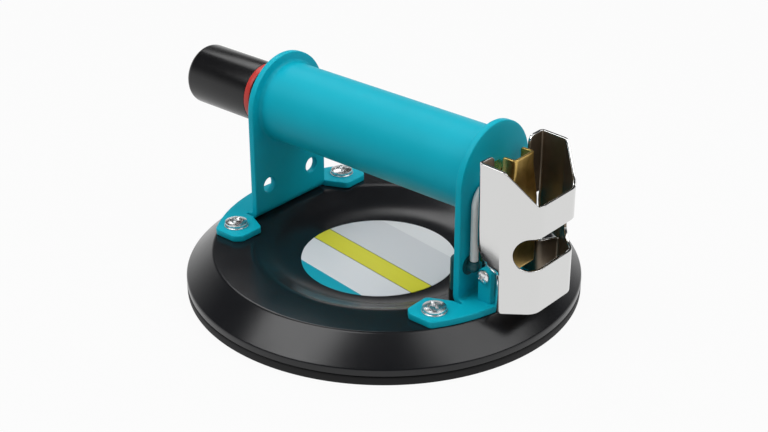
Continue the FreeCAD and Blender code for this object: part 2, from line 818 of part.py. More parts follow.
def hose_path():
    """Down beside the upright, with one bend at the top towards the valve."""
    elbow_top = d.feed_hole_height + d.elbow_radius + d.rest_gap
    foot = vector(hose_along, -d.feed_hole_across, elbow_top)
    bend_low = vector(hose_along, -d.feed_hole_across, hose_arc_start)
    bend_high = vector(hose_along, d.hose_bend_radius - d.feed_hole_across, d.tube_height)
    swing = float(d.hose_bend_radius) * (1 - math.sqrt(0.5))
    bend_middle = vector(hose_along, swing - float(d.feed_hole_across), float(d.tube_height) - swing)
    head = vector(hose_along, -d.valve_hub_radius - d.rest_gap, d.tube_height)
    edges = [Part.LineSegment(foot, bend_low).toShape(),
             Part.Arc(bend_low, bend_middle, bend_high).toShape(),
             Part.LineSegment(bend_high, head).toShape()]
    return Part.Wire(edges), foot


def air_hose():
    path, foot = hose_path()
    outer = path.makePipeShell([Part.Wire(Part.makeCircle(float(d.hose_radius), foot, vector(0, 0, 1)))], True)
    inner = path.makePipeShell([Part.Wire(Part.makeCircle(float(d.hose_bore_radius), foot, vector(0, 0, 1)))], True)
    shaped("air_hose", outer.cut(inner))


def feed_elbow():
    """Fitting through the upright's side hole: hose barb outside, down leg inside."""
    level = d.feed_hole_height
    across = -d.feed_hole_across
    leg_end = d.crest_height + d.port_height / 4 + d.seat_gap
    thin = d.elbow_radius / 2 + 1 - d.seat_gap
    pieces = [
        rod("elbow_cross", "x", elbow_along, hose_along, d.elbow_radius, (across, level)),
        rod("elbow_body", "x", inner_face, outer_face, d.side_hole_radius - d.seat_gap, (across, level)),
        rod("elbow_flange", "x", outer_face, outer_face + d.elbow_flange_thickness,
            d.elbow_flange_radius, (across, level)),
        rod("elbow_riser", "z", level, level + d.elbow_radius, d.hose_radius + d.seat_gap * 10, (hose_along, across)),
        rod("elbow_barb", "z", level, level + d.elbow_barb_length,
            d.hose_bore_radius - d.seat_gap, (hose_along, across)),
        rod("elbow_leg", "z", d.crest_height + d.port_height + d.rest_gap, level, d.elbow_radius,
            (elbow_along, across)),
        rod("elbow_tip", "z", leg_end, level, thin, (elbow_along, across)),
    ]
    for along in (elbow_along, hose_along):
        knee = doc.addObject("Part::Sphere", "elbow_knee")
        bind(knee, "Radius", d.elbow_radius)
        place(knee, along, across, level)
        pieces.append(knee)
    publish("feed_elbow", fused("feed_elbow_fused", pieces))


# ---- release lever -------------------------------------------------------------------------

def lever_outline(along, inset):
    """Front view of the lever: narrow at the thumb end, full width from the shoulder down."""
    top_half = float(d.lever_top_width) / 2 - inset
    half = float(d.lever_width) / 2 - inset
    side = [(top_half, d.lever_top), (top_half, d.lever_shoulder_top),
            (half, d.lever_shoulder_bottom), (half, d.lever_bottom)]
    loop = side + [(-y, z) for y, z in reversed(side)]
    return [vector(along, y, z) for y, z in loop]


def release_lever():
    """Channel pressed from sheet: a front plate with a flange bent back along each side."""
    rear = d.lever_face - d.lever_flange_depth - d.lever_sheet
    depth = vector(float(d.lever_face) - float(rear))
    outer = prism(lever_outline(rear, 0), depth)
    outer = softened(outer, 1.4, lambda e: near(middle(e).x, d.lever_face) and abs(middle(e).y) > 1)
    hollow = prism(lever_outline(rear, float(d.lever_sheet)), vector(depth.x - float(d.lever_sheet)))
    channel = outer.cut(hollow)
    wide = float(d.lever_width)
    pin = solid_rod(vector(d.lever_pin_along, -wide, d.lever_pin_height),
                    vector(d.lever_pin_along, wide, d.lever_pin_height),
                    d.lever_pin_radius + d.slide_gap)
    shaped("release_lever", channel.cut(pin).removeSplitter())


def lever_bracket():
    """Clevis on the upright that carries the lever's pin, with its two rivets."""
    half = float(d.bracket_width) / 2
    sheet_width = float(d.bracket_sheet)
    low = float(d.lever_pin_height) - float(d.bracket_height) / 2
    reach = float(d.lever_pin_along) + float(d.lever_pin_radius) * 2
    depth = reach - float(outer_face)
    block = Part.makeBox(depth, 2 * half, float(d.bracket_height), vector(outer_face, -half, low))
    block = softened(block, d.lever_pin_radius * 1.5, lambda e: runs_along(e, "y") and near(middle(e).x, reach))
    gap = Part.makeBox(depth, 2 * (half - sheet_width), float(d.bracket_height),
                       vector(float(outer_face) + sheet_width, sheet_width - half, low))
    clevis = block.cut(gap)
    clevis = clevis.cut(solid_rod(vector(d.lever_pin_along, -half - 1, d.lever_pin_height),
                                  vector(d.lever_pin_along, half + 1, d.lever_pin_height),
                                  d.lever_pin_radius + d.seat_gap))
    rivets = []
    for hand in (-1, 1):
        across = hand * float(d.rivet_spread) / 2
        shank = solid_rod(vector(inner_face, across, d.lever_pin_height),
                          vector(float(outer_face) + sheet_width, across, d.lever_pin_height), d.rivet_radius)
        clevis = clevis.cut(solid_rod(vector(outer_face, across, d.lever_pin_height),
                                      vector(float(outer_face) + sheet_width, across, d.lever_pin_height),
                                      d.rivet_radius + d.seat_gap))
        for face, way in ((float(outer_face) + sheet_width, 1), (float(inner_face), -1)):
            head = Part.makeCylinder(float(d.rivet_head_radius), float(d.rivet_head_height),
                                     vector(face, across, d.lever_pin_height), vector(way))
            rivets.append(shank.fuse(softened(head, d.rivet_head_height / 2, lambda e: near(
                middle(e).x, face + way * float(d.rivet_head_height)))) if way > 0 else head)
    shaped("lever_bracket", clevis)
    pairs = [rivets[index].fuse(rivets[index + 1]).removeSplitter() for index in (0, 2)]
    shaped("bracket_rivets", Part.makeCompound(pairs))
    half_pin = d.lever_pin_length / 2
    publish("lever_pin", rod("lever_pin_rod", "y", -half_pin, half_pin, d.lever_pin_radius,
                             (d.lever_pin_along, d.lever_pin_height)))


# ---- guard ---------------------------------------------------------------------------------

def inward(points, gap):
    """Closed outline, corners counter-clockwise, moved inwards by the gap."""
    moved = []
    count = len(points)
    for index, point in enumerate(points):
        before = (point - points[index - 1]).normalize()
        after = (points[(index + 1) % count] - point).normalize()
        first = vector(-before.y, before.x)
        second = vector(-after.y, after.x)
        moved.append(point + (first + second) * (gap / (1 + first.dot(second))))
    return moved


def bent_wall(points, low, high, bends):
    """Sheet that follows a plan outline; bends pairs an outside radius with the corners that have it."""
    thickness = float(d.guard_sheet)
    rise = vector(0, 0, float(high) - float(low))
    skins = []
    for gap in (0, thickness):
        outline = inward(points, gap) if gap else points
        lifted = [point + vector(0, 0, low) for point in outline]
        skin = prism(lifted, rise)
        for radius, places in bends:
            corners = [lifted[index] for index in places]
            skin = softened(skin, float(radius) - gap, lambda e: runs_along(e, "z") and any(
                abs(middle(e).x - c.x) < 0.01 and abs(middle(e).y - c.y) < 0.01 for c in corners))
        skins.append(skin)
    return skins[0].cut(skins[1])


def guard_front_points():
    return [vector(d.guard_corner_along, -d.guard_half_width), vector(d.guard_front, -d.guard_front_half),
            vector(d.guard_front, d.guard_front_half), vector(d.guard_corner_along, d.guard_half_width)]


def facet_frame(hand):
    """Start of one slanted facet at the front fold, its way back and its normal."""
    fold = vector(d.guard_front, hand * d.guard_front_half)
    corner = vector(d.guard_corner_along, hand * d.guard_half_width)
    along = (corner - fold).normalize()
    return fold, along, vector(along.y, -along.x)


def facet_cutter(hand, corners):
    """Prism through one slanted facet; corners are (distance from the front fold, height)."""
    fold, along, normal = facet_frame(hand)
    depth = float(d.guard_sheet) * 3
    outline = [fold + along * s + vector(0, 0, z) - normal * depth for s, z in corners]
    return prism(outline, normal * depth * 2)


def upper_guard():
    """Deep shroud above the step: side walls with rear lips, dipped front and a wrap-round slot."""
    rear = [vector(d.guard_rear, d.guard_half_width), vector(d.guard_rear, -d.guard_half_width)]
    bends = [(d.guard_bend, (0, 5)), (d.guard_corner_bend, (1, 4)), (d.guard_fold_bend, (2, 3))]
    wall = bent_wall(rear[1:] + guard_front_points() + rear[:1], d.guard_step, d.guard_top, bends)
    lip = float(d.guard_lip_gap) / 2
    span = 2 * float(d.guard_half_width)
    tall = float(d.guard_top) - float(d.guard_step)
    wall = wall.cut(Part.makeBox(3 * float(d.guard_sheet), 2 * lip, tall,
                                 vector(float(d.guard_rear) - 1, -lip, d.guard_step)))
    wall = softened(wall, d.guard_lip_round, lambda e: runs_along(e, "x") and near(abs(middle(e).y), lip)
                    and near(middle(e).z, d.guard_top))
    clear = 10.0
    sky = float(d.guard_top) + clear
    front = float(d.guard_front)
    wall = wall.cut(Part.makeBox(clear, 2 * float(d.guard_front_half), clear * 4,
                                 vector(front - clear / 2, -d.guard_front_half, d.guard_notch)))
    shoulder = float(d.guard_shoulder)
    notch = float(d.guard_notch)
    facet = (guard_front_points()[0] - guard_front_points()[1]).Length
    climb = (shoulder - notch) / facet
    for hand in (-1, 1):
        wall = wall.cut(facet_cutter(hand, [(-3, notch), (0, notch), (facet + 3, shoulder + 3 * climb),
                                            (facet + 3, sky), (-3, sky)]))
    roof = prism([vector(d.guard_rear, -span, d.guard_top), vector(d.guard_corner_along, -span, shoulder),
                  vector(d.guard_corner_along, -span, sky), vector(d.guard_rear, -span, sky)],
                 vector(0, 2 * span))
    inside = Part.makeBox(clear * 4, 2 * lip, clear * 4, vector(float(d.guard_rear) - clear, -lip, shoulder - 1))
    wall = wall.cut(roof.cut(inside))
    trim = trim_tool(span)
    return wall.cut(trim).cut(slot_tool())


def trim_tool(span):
    """Hollow-curved trim of the rear lower corner of both side walls."""
    low = vector(d.guard_trim_end, -span, float(d.guard_step))
    high = vector(d.guard_rear, -span, d.guard_trim_top)
    away = vector(high.z - low.z, 0, low.x - high.x).normalize()
    bulge = (low + high) * 0.5 - away * float(d.guard_trim_sag)
    corner = vector(d.guard_rear - 5, -span, d.guard_trim_top)
    base = vector(d.guard_rear - 5, -span, float(d.guard_step) - 5)
    heel = vector(d.guard_trim_end, -span, float(d.guard_step) - 5)
    edges = [Part.Arc(high, bulge, low).toShape(), Part.LineSegment(low, heel).toShape(),
             Part.LineSegment(heel, base).toShape(), Part.LineSegment(base, corner).toShape(),
             Part.LineSegment(corner, high).toShape()]
    return Part.Face(Part.Wire(edges)).extrude(vector(0, 2 * span))


def slot_tool():
    """Slot across the front that wraps on to both slanted facets and is round-ended on them."""
    radius = float(d.slot_height) / 2
    centre = float(d.slot_reach) - radius
    low, high = float(slot_bottom), float(slot_bottom) + 2 * radius
    depth = 2 * float(d.guard_fold_bend)
    tool = Part.makeBox(depth, 2 * float(d.guard_front_half), 2 * radius,
                        vector(float(d.guard_front) - depth / 2, -d.guard_front_half, low))
    for hand in (-1, 1):
        tool = tool.fuse(facet_cutter(hand, [(-3, low), (centre, low), (centre, high), (-3, high)]))
        start, along, normal = facet_frame(hand)
        middle_point = start + along * centre + vector(0, 0, d.slot_level)
        tool = tool.fuse(solid_rod(middle_point - normal * radius, middle_point + normal * radius, radius))
    return tool


def lower_guard():
    """Skirt below the step, with a flange joggled in behind each tab of the foot."""
    flange = float(tab_inner)
    half = float(d.guard_half_width)
    tail = [vector(float(d.flange_start) - 5, -flange), vector(d.flange_joggle, -flange), vector(d.skirt_start, -half)]
    points = tail + guard_front_points() + [vector(point.x, -point.y) for point in reversed(tail)]
    bends = [(d.guard_bend, (1, 2, 7, 8)), (d.guard_corner_bend, (3, 6)), (d.guard_fold_bend, (4, 5))]
    wall = bent_wall(points, d.guard_bottom, d.guard_step, bends)
    tall = float(d.guard_step) - float(d.guard_bottom)
    wall = wall.cut(Part.makeBox(5, 4 * half, tall, vector(float(d.flange_start) - 5, -2 * half, d.guard_bottom)))
    wall = wall.cut(Part.makeBox(float(d.flange_joggle) - float(d.flange_start), 4 * half,
                                 float(d.flange_bottom) - float(d.guard_bottom),
                                 vector(d.flange_start, -2 * half, d.guard_bottom)))
    screw = solid_rod(vector(d.guard_screw_along, -half, d.guard_screw_height),
                      vector(d.guard_screw_along, half, d.guard_screw_height),
                      d.guard_screw_radius + d.hole_gap)
    return wall.cut(screw)


def guard():
    shaped("guard", upper_guard().fuse(lower_guard()).removeSplitter())


def guard_fasteners():
    """Screw outside and nut inside at each tab."""
    screws = []
    nuts = []
    along = d.guard_screw_along
    level = d.guard_screw_height
    for hand in (-1, 1):
        out = vector(0, hand)
        face = vector(along, hand * d.tab_outer_across, level)
        seat = vector(along, hand * flange_inner, level)
        head = Part.makeCylinder(float(d.guard_screw_head), float(d.guard_screw_head_height), face, out)
        crown = hand * (float(d.tab_outer_across) + float(d.guard_screw_head_height))
        head = softened(head, d.guard_screw_head_height * 0.6, lambda e: near(middle(e).y, crown))
        tip = vector(along, hand * (flange_inner - d.nut_thickness), level)
        screws.append(head.fuse(solid_rod(face, tip, d.guard_screw_radius)))
        corners = [seat + vector(float(d.nut_radius) * math.cos(turn), 0, float(d.nut_radius) * math.sin(turn))
                   for turn in (math.radians(60 * index) for index in range(6))]
        nut = prism(corners, out * -float(d.nut_thickness))
        nuts.append(nut.cut(solid_rod(face, tip, d.guard_screw_radius + d.seat_gap)))
    shaped("guard_screws", Part.makeCompound(screws))
    shaped("guard_nuts", Part.makeCompound(nuts))


# ---- build and write -----------------------------------------------------------------------

def check_and_write():
    doc.recompute()
    for item in doc.Objects:
        bad = [state for state in item.State if state in ("Invalid", "Error")]
        if bad:
            raise RuntimeError(f"{item.Label}: {bad}")
    os.makedirs("parts", exist_ok=True)
    for name, item in nodes.items():
        shape = item.Shape
        if shape.isNull() or not shape.isValid() or not shape.Solids:
            raise RuntimeError(f"{name}: shape is not a valid solid")
    for name, item in nodes.items():
        item.Shape.exportStep(f"parts/{name}.step")
        print(f"{name}: {len(item.Shape.Solids)} solid, {item.Shape.Volume:.0f} mm3")


base_plate()
vacuum_pad()
label_disc()
base_port()
pump_upright()
valve_upright()
handle_tube()
at_feet("foot_inserts", foot_insert)
at_feet("foot_washers", foot_washer)
at_feet("foot_screws", foot_screw)
pump()
barrel_head()
springs()
valve_body()
valve_stem()
air_hose()
feed_elbow()
release_lever()
lever_bracket()
guard()
guard_fasteners()
check_and_write()
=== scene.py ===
"""Looks of the hand-pumped vacuum lifter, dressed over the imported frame.

Metres throughout the scene. The origin is on the floor under the middle of the suction base, the
handle runs along X with the plunger at -X and the guarded lever at +X, and +Z is up. Shapes below
are written in millimetres and brought to metres once, in solid().
"""
import math

import bmesh
import bpy
import numpy as np
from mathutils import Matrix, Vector
from mathutils.geometry import delaunay_2d_cdt


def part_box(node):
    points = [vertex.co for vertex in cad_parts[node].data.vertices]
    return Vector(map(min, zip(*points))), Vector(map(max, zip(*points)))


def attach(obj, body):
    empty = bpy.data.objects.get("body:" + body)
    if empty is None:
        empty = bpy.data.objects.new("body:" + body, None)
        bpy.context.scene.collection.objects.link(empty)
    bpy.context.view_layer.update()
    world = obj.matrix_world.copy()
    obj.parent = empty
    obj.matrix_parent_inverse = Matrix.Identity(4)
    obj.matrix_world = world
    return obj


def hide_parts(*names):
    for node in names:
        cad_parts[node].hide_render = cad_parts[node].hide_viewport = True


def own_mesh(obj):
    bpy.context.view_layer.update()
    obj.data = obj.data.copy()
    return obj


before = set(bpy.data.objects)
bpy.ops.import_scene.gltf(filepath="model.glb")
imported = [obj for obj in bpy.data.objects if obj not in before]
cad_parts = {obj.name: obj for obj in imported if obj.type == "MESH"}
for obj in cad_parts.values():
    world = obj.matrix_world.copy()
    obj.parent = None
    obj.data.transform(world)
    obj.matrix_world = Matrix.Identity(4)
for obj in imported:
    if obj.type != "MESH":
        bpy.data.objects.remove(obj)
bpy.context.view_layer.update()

MM = 0.001


# ---- shapes --------------------------------------------------------------------------------

def solid(name, vertices, faces, crease=32):
    """Mesh object from millimetre points: doubles merged, normals outwards, creases above the angle
    kept."""
    mesh = bpy.data.meshes.new(name)
    mesh.from_pydata((np.asarray(vertices, float) * MM).tolist(), [], faces)
    work = bmesh.new()
    work.from_mesh(mesh)
    bmesh.ops.remove_doubles(work, verts=work.verts, dist=2e-6)
    bmesh.ops.dissolve_degenerate(work, edges=work.edges, dist=1e-6)
    bmesh.ops.recalc_face_normals(work, faces=work.faces)
    work.to_mesh(mesh)
    work.free()
    mesh.shade_smooth()
    mesh.set_sharp_from_angle(angle=math.radians(crease))
    piece = bpy.data.objects.new(name, mesh)
    bpy.context.scene.collection.objects.link(piece)
    return piece


def net(rows, columns, wrap_rows=False, wrap_columns=False):
    """Quads over a grid whose points are numbered row by row; a wrapped side joins its last line to
    its first."""
    index = np.arange(rows * columns).reshape(rows, columns)
    if wrap_rows:
        index = np.vstack([index, index[:1]])
    if wrap_columns:
        index = np.hstack([index, index[:, :1]])
    corners = (index[:-1, :-1], index[1:, :-1], index[1:, 1:], index[:-1, 1:])
    return np.stack(corners, -1).reshape(-1, 4)


def rounded(corners, steps=6, closed=True):
    """Outline with arcs at its corners (x, y, radius). At a corner that turns by angle t the arc
    touches both sides r tan(t/2) from the corner, and it is drawn by swinging the arm from its
    centre through t."""
    table = np.array([(*corner, 0)[:3] for corner in corners], float)
    point, radius = table[:, :2], table[:, 2:]
    ahead, behind = np.roll(point, -1, 0) - point, point - np.roll(point, 1, 0)
    if not closed:
        ahead[-1], behind[0] = behind[-1], ahead[0]
    ahead /= np.linalg.norm(ahead, axis=1, keepdims=True)
    behind /= np.linalg.norm(behind, axis=1, keepdims=True)
    turn = np.arctan2(behind[:, :1] * ahead[:, 1:] - behind[:, 1:] * ahead[:, :1],
                      (behind * ahead).sum(1, keepdims=True))
    side = np.sign(turn) * np.stack([-behind[:, 1], behind[:, 0]], 1)
    start = point - behind * radius * np.tan(abs(turn) / 2)
    arm = -side * radius
    swing = turn * np.linspace(0, 1, steps + 1)
    arc_x = (start - arm)[:, :1] + arm[:, :1] * np.cos(swing) - arm[:, 1:] * np.sin(swing)
    arc_y = (start - arm)[:, 1:] + arm[:, :1] * np.sin(swing) + arm[:, 1:] * np.cos(swing)
    outline = np.stack([arc_x, arc_y], -1).reshape(-1, 2)
    fresh = np.linalg.norm(outline - np.roll(outline, 1, 0), axis=1) > 1e-6
    fresh[0] = True if not closed else fresh[0]
    return outline[fresh]


def resampled(outline, step, closed=True):
    """The outline's own corners plus a point every step of its length between them."""
    loop = np.vstack([outline, outline[:1]]) if closed else outline
    length = np.append(0, np.cumsum(np.linalg.norm(np.diff(loop, axis=0), axis=1)))
    extra = np.arange(step, length[-1], step)
    extra = extra[np.abs(extra[:, None] - length).min(1) > step * 0.3]
    stations = np.sort(np.append(length, extra))
    if closed:
        stations = stations[:-1]
    return np.stack([np.interp(stations, length, loop[:, axis]) for axis in (0, 1)], 1)


def turned(name, profile, axis, centre=(0, 0, 0), sectors=160, ripple=None):
    """Turned piece: each profile point (a, r) becomes a ring r (cos t, sin t) at a along the axis.
    ripple adds to the radius."""
    profile = np.asarray(profile, float)
    turn = np.linspace(0, 2 * math.pi, sectors, endpoint=False)
    along, radius = np.repeat(profile[:, :1], sectors, 1), np.repeat(profile[:, 1:], sectors, 1)
    if ripple:
        radius = radius + ripple(along, radius, turn[None, :])
    first, second = radius * np.cos(turn), radius * np.sin(turn)
    order = {"x": (along, first, second), "z": (first, second, along)}[axis]
    points = np.stack(order, -1) + np.array(centre, float)
    return solid(name, points.reshape(-1, 3), net(*radius.shape, True, True))


def within(points, loops):
    """True where a ray to +x from the point crosses the loops an odd number of times."""
    crossings = np.zeros(len(points), int)
    x, y = points[:, :1], points[:, 1:]
    for loop in loops:
        a, b = loop, np.roll(loop, -1, 0)
        rise = b[:, 1] - a[:, 1]
        rise[rise == 0] = 1e-12
        spans = (a[:, 1] > y) != (b[:, 1] > y)
        crossings += (spans & (x < a[:, 0] + (b[:, 0] - a[:, 0]) * (y - a[:, 1]) / rise)).sum(1)
    return crossings % 2 == 1


def inset(loop, gap):
    """Closed loop moved to its left: each corner shifts along the mean of its sides' normals."""
    behind, ahead = loop - np.roll(loop, 1, 0), np.roll(loop, -1, 0) - loop
    first = np.stack([-behind[:, 1], behind[:, 0]], 1) / np.linalg.norm(behind, axis=1, keepdims=True)
    second = np.stack([-ahead[:, 1], ahead[:, 0]], 1) / np.linalg.norm(ahead, axis=1, keepdims=True)
    return loop + (first + second) * gap / np.maximum(1 + (first * second).sum(1, keepdims=True), 0.3)


def pressed(name, loops, thickness, edge, bend, rows, columns, step=1.5):
    """Sheet piece cut to a flat pattern (outer loop counter-clockwise, holes clockwise) and then
    bent. Its cut edges are carried round each loop as a profile: a quarter arc of the edge radius,
    the plain cut and a second quarter arc. The two faces are Delaunay nets over the loops and a
    grid of rows and columns. bend(s, t, w) takes pattern place and depth into the sheet to space."""
    loops = [resampled(np.asarray(loop, float), step) for loop in loops]
    swing = np.linspace(0, math.pi / 2, 4)
    gaps = np.append(edge * (1 - np.sin(swing)), edge * (1 - np.sin(swing[::-1])))
    depth = np.append(edge * (1 - np.cos(swing)), thickness - edge * (1 - np.cos(swing[::-1])))
    points, faces, count = [], [], 0
    for loop in loops:
        ring = np.stack([inset(loop, gap) for gap in gaps])
        level = np.repeat(depth[:, None], len(loop), 1)[..., None]
        points.append(np.concatenate([ring, level], -1).reshape(-1, 3))
        faces += (net(len(gaps), len(loop), False, True) + count).tolist()
        count += len(gaps) * len(loop)
    rims = [inset(loop, edge) for loop in loops]
    grid = np.stack(np.meshgrid(rows, columns, indexing="ij"), -1).reshape(-1, 2)
    grid = grid[within(grid, [inset(loop, edge + 0.45) for loop in loops])]
    corners = np.vstack(rims + [grid])
    joins, base = [], 0
    for rim in rims:
        own = np.arange(len(rim))
        joins += np.stack([base + own, base + np.roll(own, -1)], 1).tolist()
        base += len(rim)
    found = delaunay_2d_cdt([Vector(corner) for corner in corners], joins, [], 0, 1e-7)
    flat = np.array([tuple(corner) for corner in found[0]])
    triangles = np.array(found[2])
    triangles = triangles[within(flat[triangles].mean(1), rims)]
    for level in (0.0, thickness):
        points.append(np.column_stack([flat, np.full(len(flat), level)]))
        faces += (triangles + count).tolist()
        count += len(flat)
    return solid(name, bend(*np.vstack(points).T), faces, 50)


def rings_along(path, sides):
    """Unit rings square to a smooth path's own direction: cos t across the path plus sin t along
    its lift."""
    along = np.gradient(path, axis=0)
    along /= np.linalg.norm(along, axis=1, keepdims=True)
    across = np.cross(along, (1.0, 0, 0))
    across /= np.linalg.norm(across, axis=1, keepdims=True)
    lift = np.cross(along, across)
    turn = np.linspace(0, 2 * math.pi, sides, endpoint=False)[None, :, None]
    return across[:, None] * np.cos(turn) + lift[:, None] * np.sin(turn)


def swept(name, path, radius, sides=24):
    """Round tube wall carried along a smooth path: outer rings, and inner ones at 0.62 of the
    radius."""
    rings = rings_along(path, sides)
    outer, inner = path[:, None] + radius * rings, path[:, None] + radius * 0.62 * rings
    points = np.concatenate([outer, inner[::-1]])
    return solid(name, points.reshape(-1, 3), net(len(points), sides, True, True))


def coil(name, node, wire, turns, sides=12):
    """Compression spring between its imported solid's ends: a round wire on a helix whose angle runs
    through all its turns while x goes evenly from seat to seat. The first and last rings shrink to
    points."""
    low, high = (np.array(corner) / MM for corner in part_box(node))
    mean, level = (high[1] - low[1]) / 2 - wire, (high[2] + low[2]) / 2
    share = np.linspace(0, 1, int(turns * 40) + 1)
    angle = share * turns * 2 * math.pi
    path = np.column_stack([low[0] + wire + share * (high[0] - low[0] - 2 * wire),
                            mean * np.cos(angle), level + mean * np.sin(angle)])
    rings = path[:, None] + wire * rings_along(path, sides)
    ends = [np.repeat(path[place][None, None], sides, 1) for place in (0, -1)]
    points = np.concatenate([ends[0], rings, ends[1]])
    return solid(name, points.reshape(-1, 3), net(len(points), sides, False, True))


# ---- finishes ------------------------------------------------------------------------------

def linear(code):
    """sRGB hex to linear colour."""
    channels = [int(code[place:place + 2], 16) / 255 for place in (1, 3, 5)]
    return [c / 12.92 if c <= 0.04045 else ((c + 0.055) / 1.055) ** 2.4 for c in channels] + [1.0]


def add(tree, kind, inputs=None, **settings):
    """Adds a node with its settings; an input given as another node's output is linked, the rest
    are set."""
    node = tree.nodes.new(kind)
    for name, value in settings.items():
        setattr(node, name, value)
    for name, value in (inputs or {}).items():
        if isinstance(value, bpy.types.NodeSocket):
            tree.links.new(value, node.inputs[name])
        else:
            node.inputs[name].default_value = value
    return node


def finish(name, code, **shader):
    """Starts a material: its shader with plain values, its output, and Object coordinates."""
    material = bpy.data.materials.new(name)
    material.use_nodes = True
    tree = material.node_tree
    tree.nodes.clear()
    bsdf = add(tree, "ShaderNodeBsdfPrincipled", {"Base Color": linear(code), **shader})
    add(tree, "ShaderNodeOutputMaterial", {"Surface": bsdf.outputs[0]})
    return material, tree, bsdf, add(tree, "ShaderNodeTexCoord").outputs["Object"]


def relief(tree, bsdf, height, deep):
    """Bump of the given depth in millimetres on the shader."""
    bump = add(tree, "ShaderNodeBump", {"Height": height, "Distance": deep * MM, "Strength": 1.0})
    tree.links.new(bump.outputs[0], bsdf.inputs["Normal"])


def noise(tree, place, size, detail, **more):
    """Noise whose cells are about size millimetres across."""
    inputs = {"Vector": place, "Scale": 1 / (size * MM), "Detail": detail, **more}
    return add(tree, "ShaderNodeTexNoise", inputs).outputs[0]


def between(tree, share, low, high):
    """Colour that goes from low to high with the share."""
    return add(tree, "ShaderNodeMix", {0: share, 6: low, 7: high}, data_type="RGBA").outputs[2]


def vary(tree, bsdf, value, low, high, start=0.0, end=1.0):
    """Roughness that goes from low to high while the value goes from start to end."""
    spread = add(tree, "ShaderNodeMapRange", {"Value": value, "From Min": start, "From Max": end,
                                              "To Min": low, "To Max": high})
    tree.links.new(spread.outputs[0], bsdf.inputs["Roughness"])


def powder_coat():
    """Powder-coated mild steel: a thick even film with orange peel about 1.6 mm across and faint
    mottling."""
    material, tree, bsdf, place = finish("powder_coated_steel_teal", "#08B0C6", Roughness=0.45,
                                         **{"Specular IOR Level": 0.15})
    mottle = noise(tree, place, 22, 3.0)
    shade = between(tree, mottle, linear("#04ACC1"), linear("#0BB6CC"))
    tree.links.new(shade, bsdf.inputs["Base Color"])
    relief(tree, bsdf, noise(tree, place, 1.6, 1.0), 0.02)
    return material


def moulded_black(name, code, rough, deep):
    """Dark moulded or turned plastic (ABS, nylon, acetal): its gloss is broken by handling haze,
    over a fine grit of the given depth."""
    material, tree, bsdf, place = finish(name, code, Roughness=rough, **{"Specular IOR Level": 0.42})
    haze = noise(tree, place, 14, 5.0, Roughness=0.6)
    vary(tree, bsdf, haze, rough * 0.92, rough * 1.12, 0.3, 0.7)
    relief(tree, bsdf, noise(tree, place, 0.9, 2.0), deep)
    return material


def nitrile_rubber():
    """Compression-moulded nitrile rubber: matt, with a fine bloom that greys it in patches."""
    material, tree, bsdf, place = finish("moulded_nitrile_rubber", "#161617", Roughness=0.62,
                                         **{"Specular IOR Level": 0.25})
    bloom = noise(tree, place, 9, 6.0)
    shade = between(tree, bloom, linear("#111112"), linear("#1E1E1F"))
    tree.links.new(shade, bsdf.inputs["Base Color"])
    relief(tree, bsdf, noise(tree, place, 0.5, 2.0), 0.03)
    return material


def chrome_plate():
    """Bright chromium over steel sheet: outside a mirror with a slow wave left by rolling and
    buffing. Inside (the mesh's attribute) the faces are rougher, and their dull brown-grey colour
    is painted shade for the shade that falls inside the guard."""
    skin, mirror, matt = "#D6D6D5", 0.08, 0.42
    material, tree, bsdf, place = finish("chrome_plated_sheet_steel", skin, Metallic=1.0,
                                         Roughness=mirror)
    inside = add(tree, "ShaderNodeAttribute", attribute_name="inner_side").outputs["Fac"]
    # Painted shade: the inner faces get a dull brown-grey colour standing in for the shade inside the
    # guard.
    painted_inner_shade = between(tree, noise(tree, place, 7, 3.0), linear("#75695C"), linear("#918575"))
    tree.links.new(between(tree, inside, linear(skin), painted_inner_shade), bsdf.inputs["Base Color"])
    vary(tree, bsdf, inside, mirror, matt)
    relief(tree, bsdf, noise(tree, place, 16, 1.0), 0.06)
    return material


def yellow_passivate():
    """Zinc-plated pressing with yellow passivation: gold that drifts to olive and rust red."""
    material, tree, bsdf, place = finish("yellow_passivated_zinc", "#D0AC60", Metallic=1.0,
                                         Roughness=0.33)
    ramp = add(tree, "ShaderNodeValToRGB", {"Fac": noise(tree, place, 11, 4.0, Distortion=0.6)})
    for stop, code, share in zip(ramp.color_ramp.elements, ("#B5944A", "#E8C579"), (0.3, 0.7)):
        stop.color, stop.position = linear(code), share
    tree.links.new(ramp.outputs[0], bsdf.inputs["Base Color"])
    return material


def plated(name, code, rough, grain=0.0):
    """Zinc plate, steel, brass or aluminium: fine tool marks spread the roughness about the value
    given, and grain is their depth."""
    material, tree, bsdf, place = finish(name, code, Metallic=1.0, Roughness=rough)
    marks = noise(tree, place, 0.8, 4.0)
    vary(tree, bsdf, marks, rough * 0.7, rough * 1.4)
    if grain:
        relief(tree, bsdf, marks, grain)
    return material


def moulded_colour(name, code, rough):
    """Plain moulded plastic with a faint flow mottle."""
    material, tree, bsdf, place = finish(name, code, Roughness=rough)
    vary(tree, bsdf, noise(tree, place, 5, 3.0), rough * 0.75, rough * 1.3)
    return material


def vinyl_hose():
    """Extruded soft vinyl: cloudy grey with a little light passing through."""
    material, tree, bsdf, place = finish("extruded_clear_vinyl", "#D8DEDC", Roughness=0.25,
                                         **{"Transmission Weight": 0.12, "IOR": 1.5})
    shade = between(tree, noise(tree, place, 4, 4.0), linear("#DCE1DF"), linear("#FBFCFC"))
    tree.links.new(shade, bsdf.inputs["Base Color"])
    return material


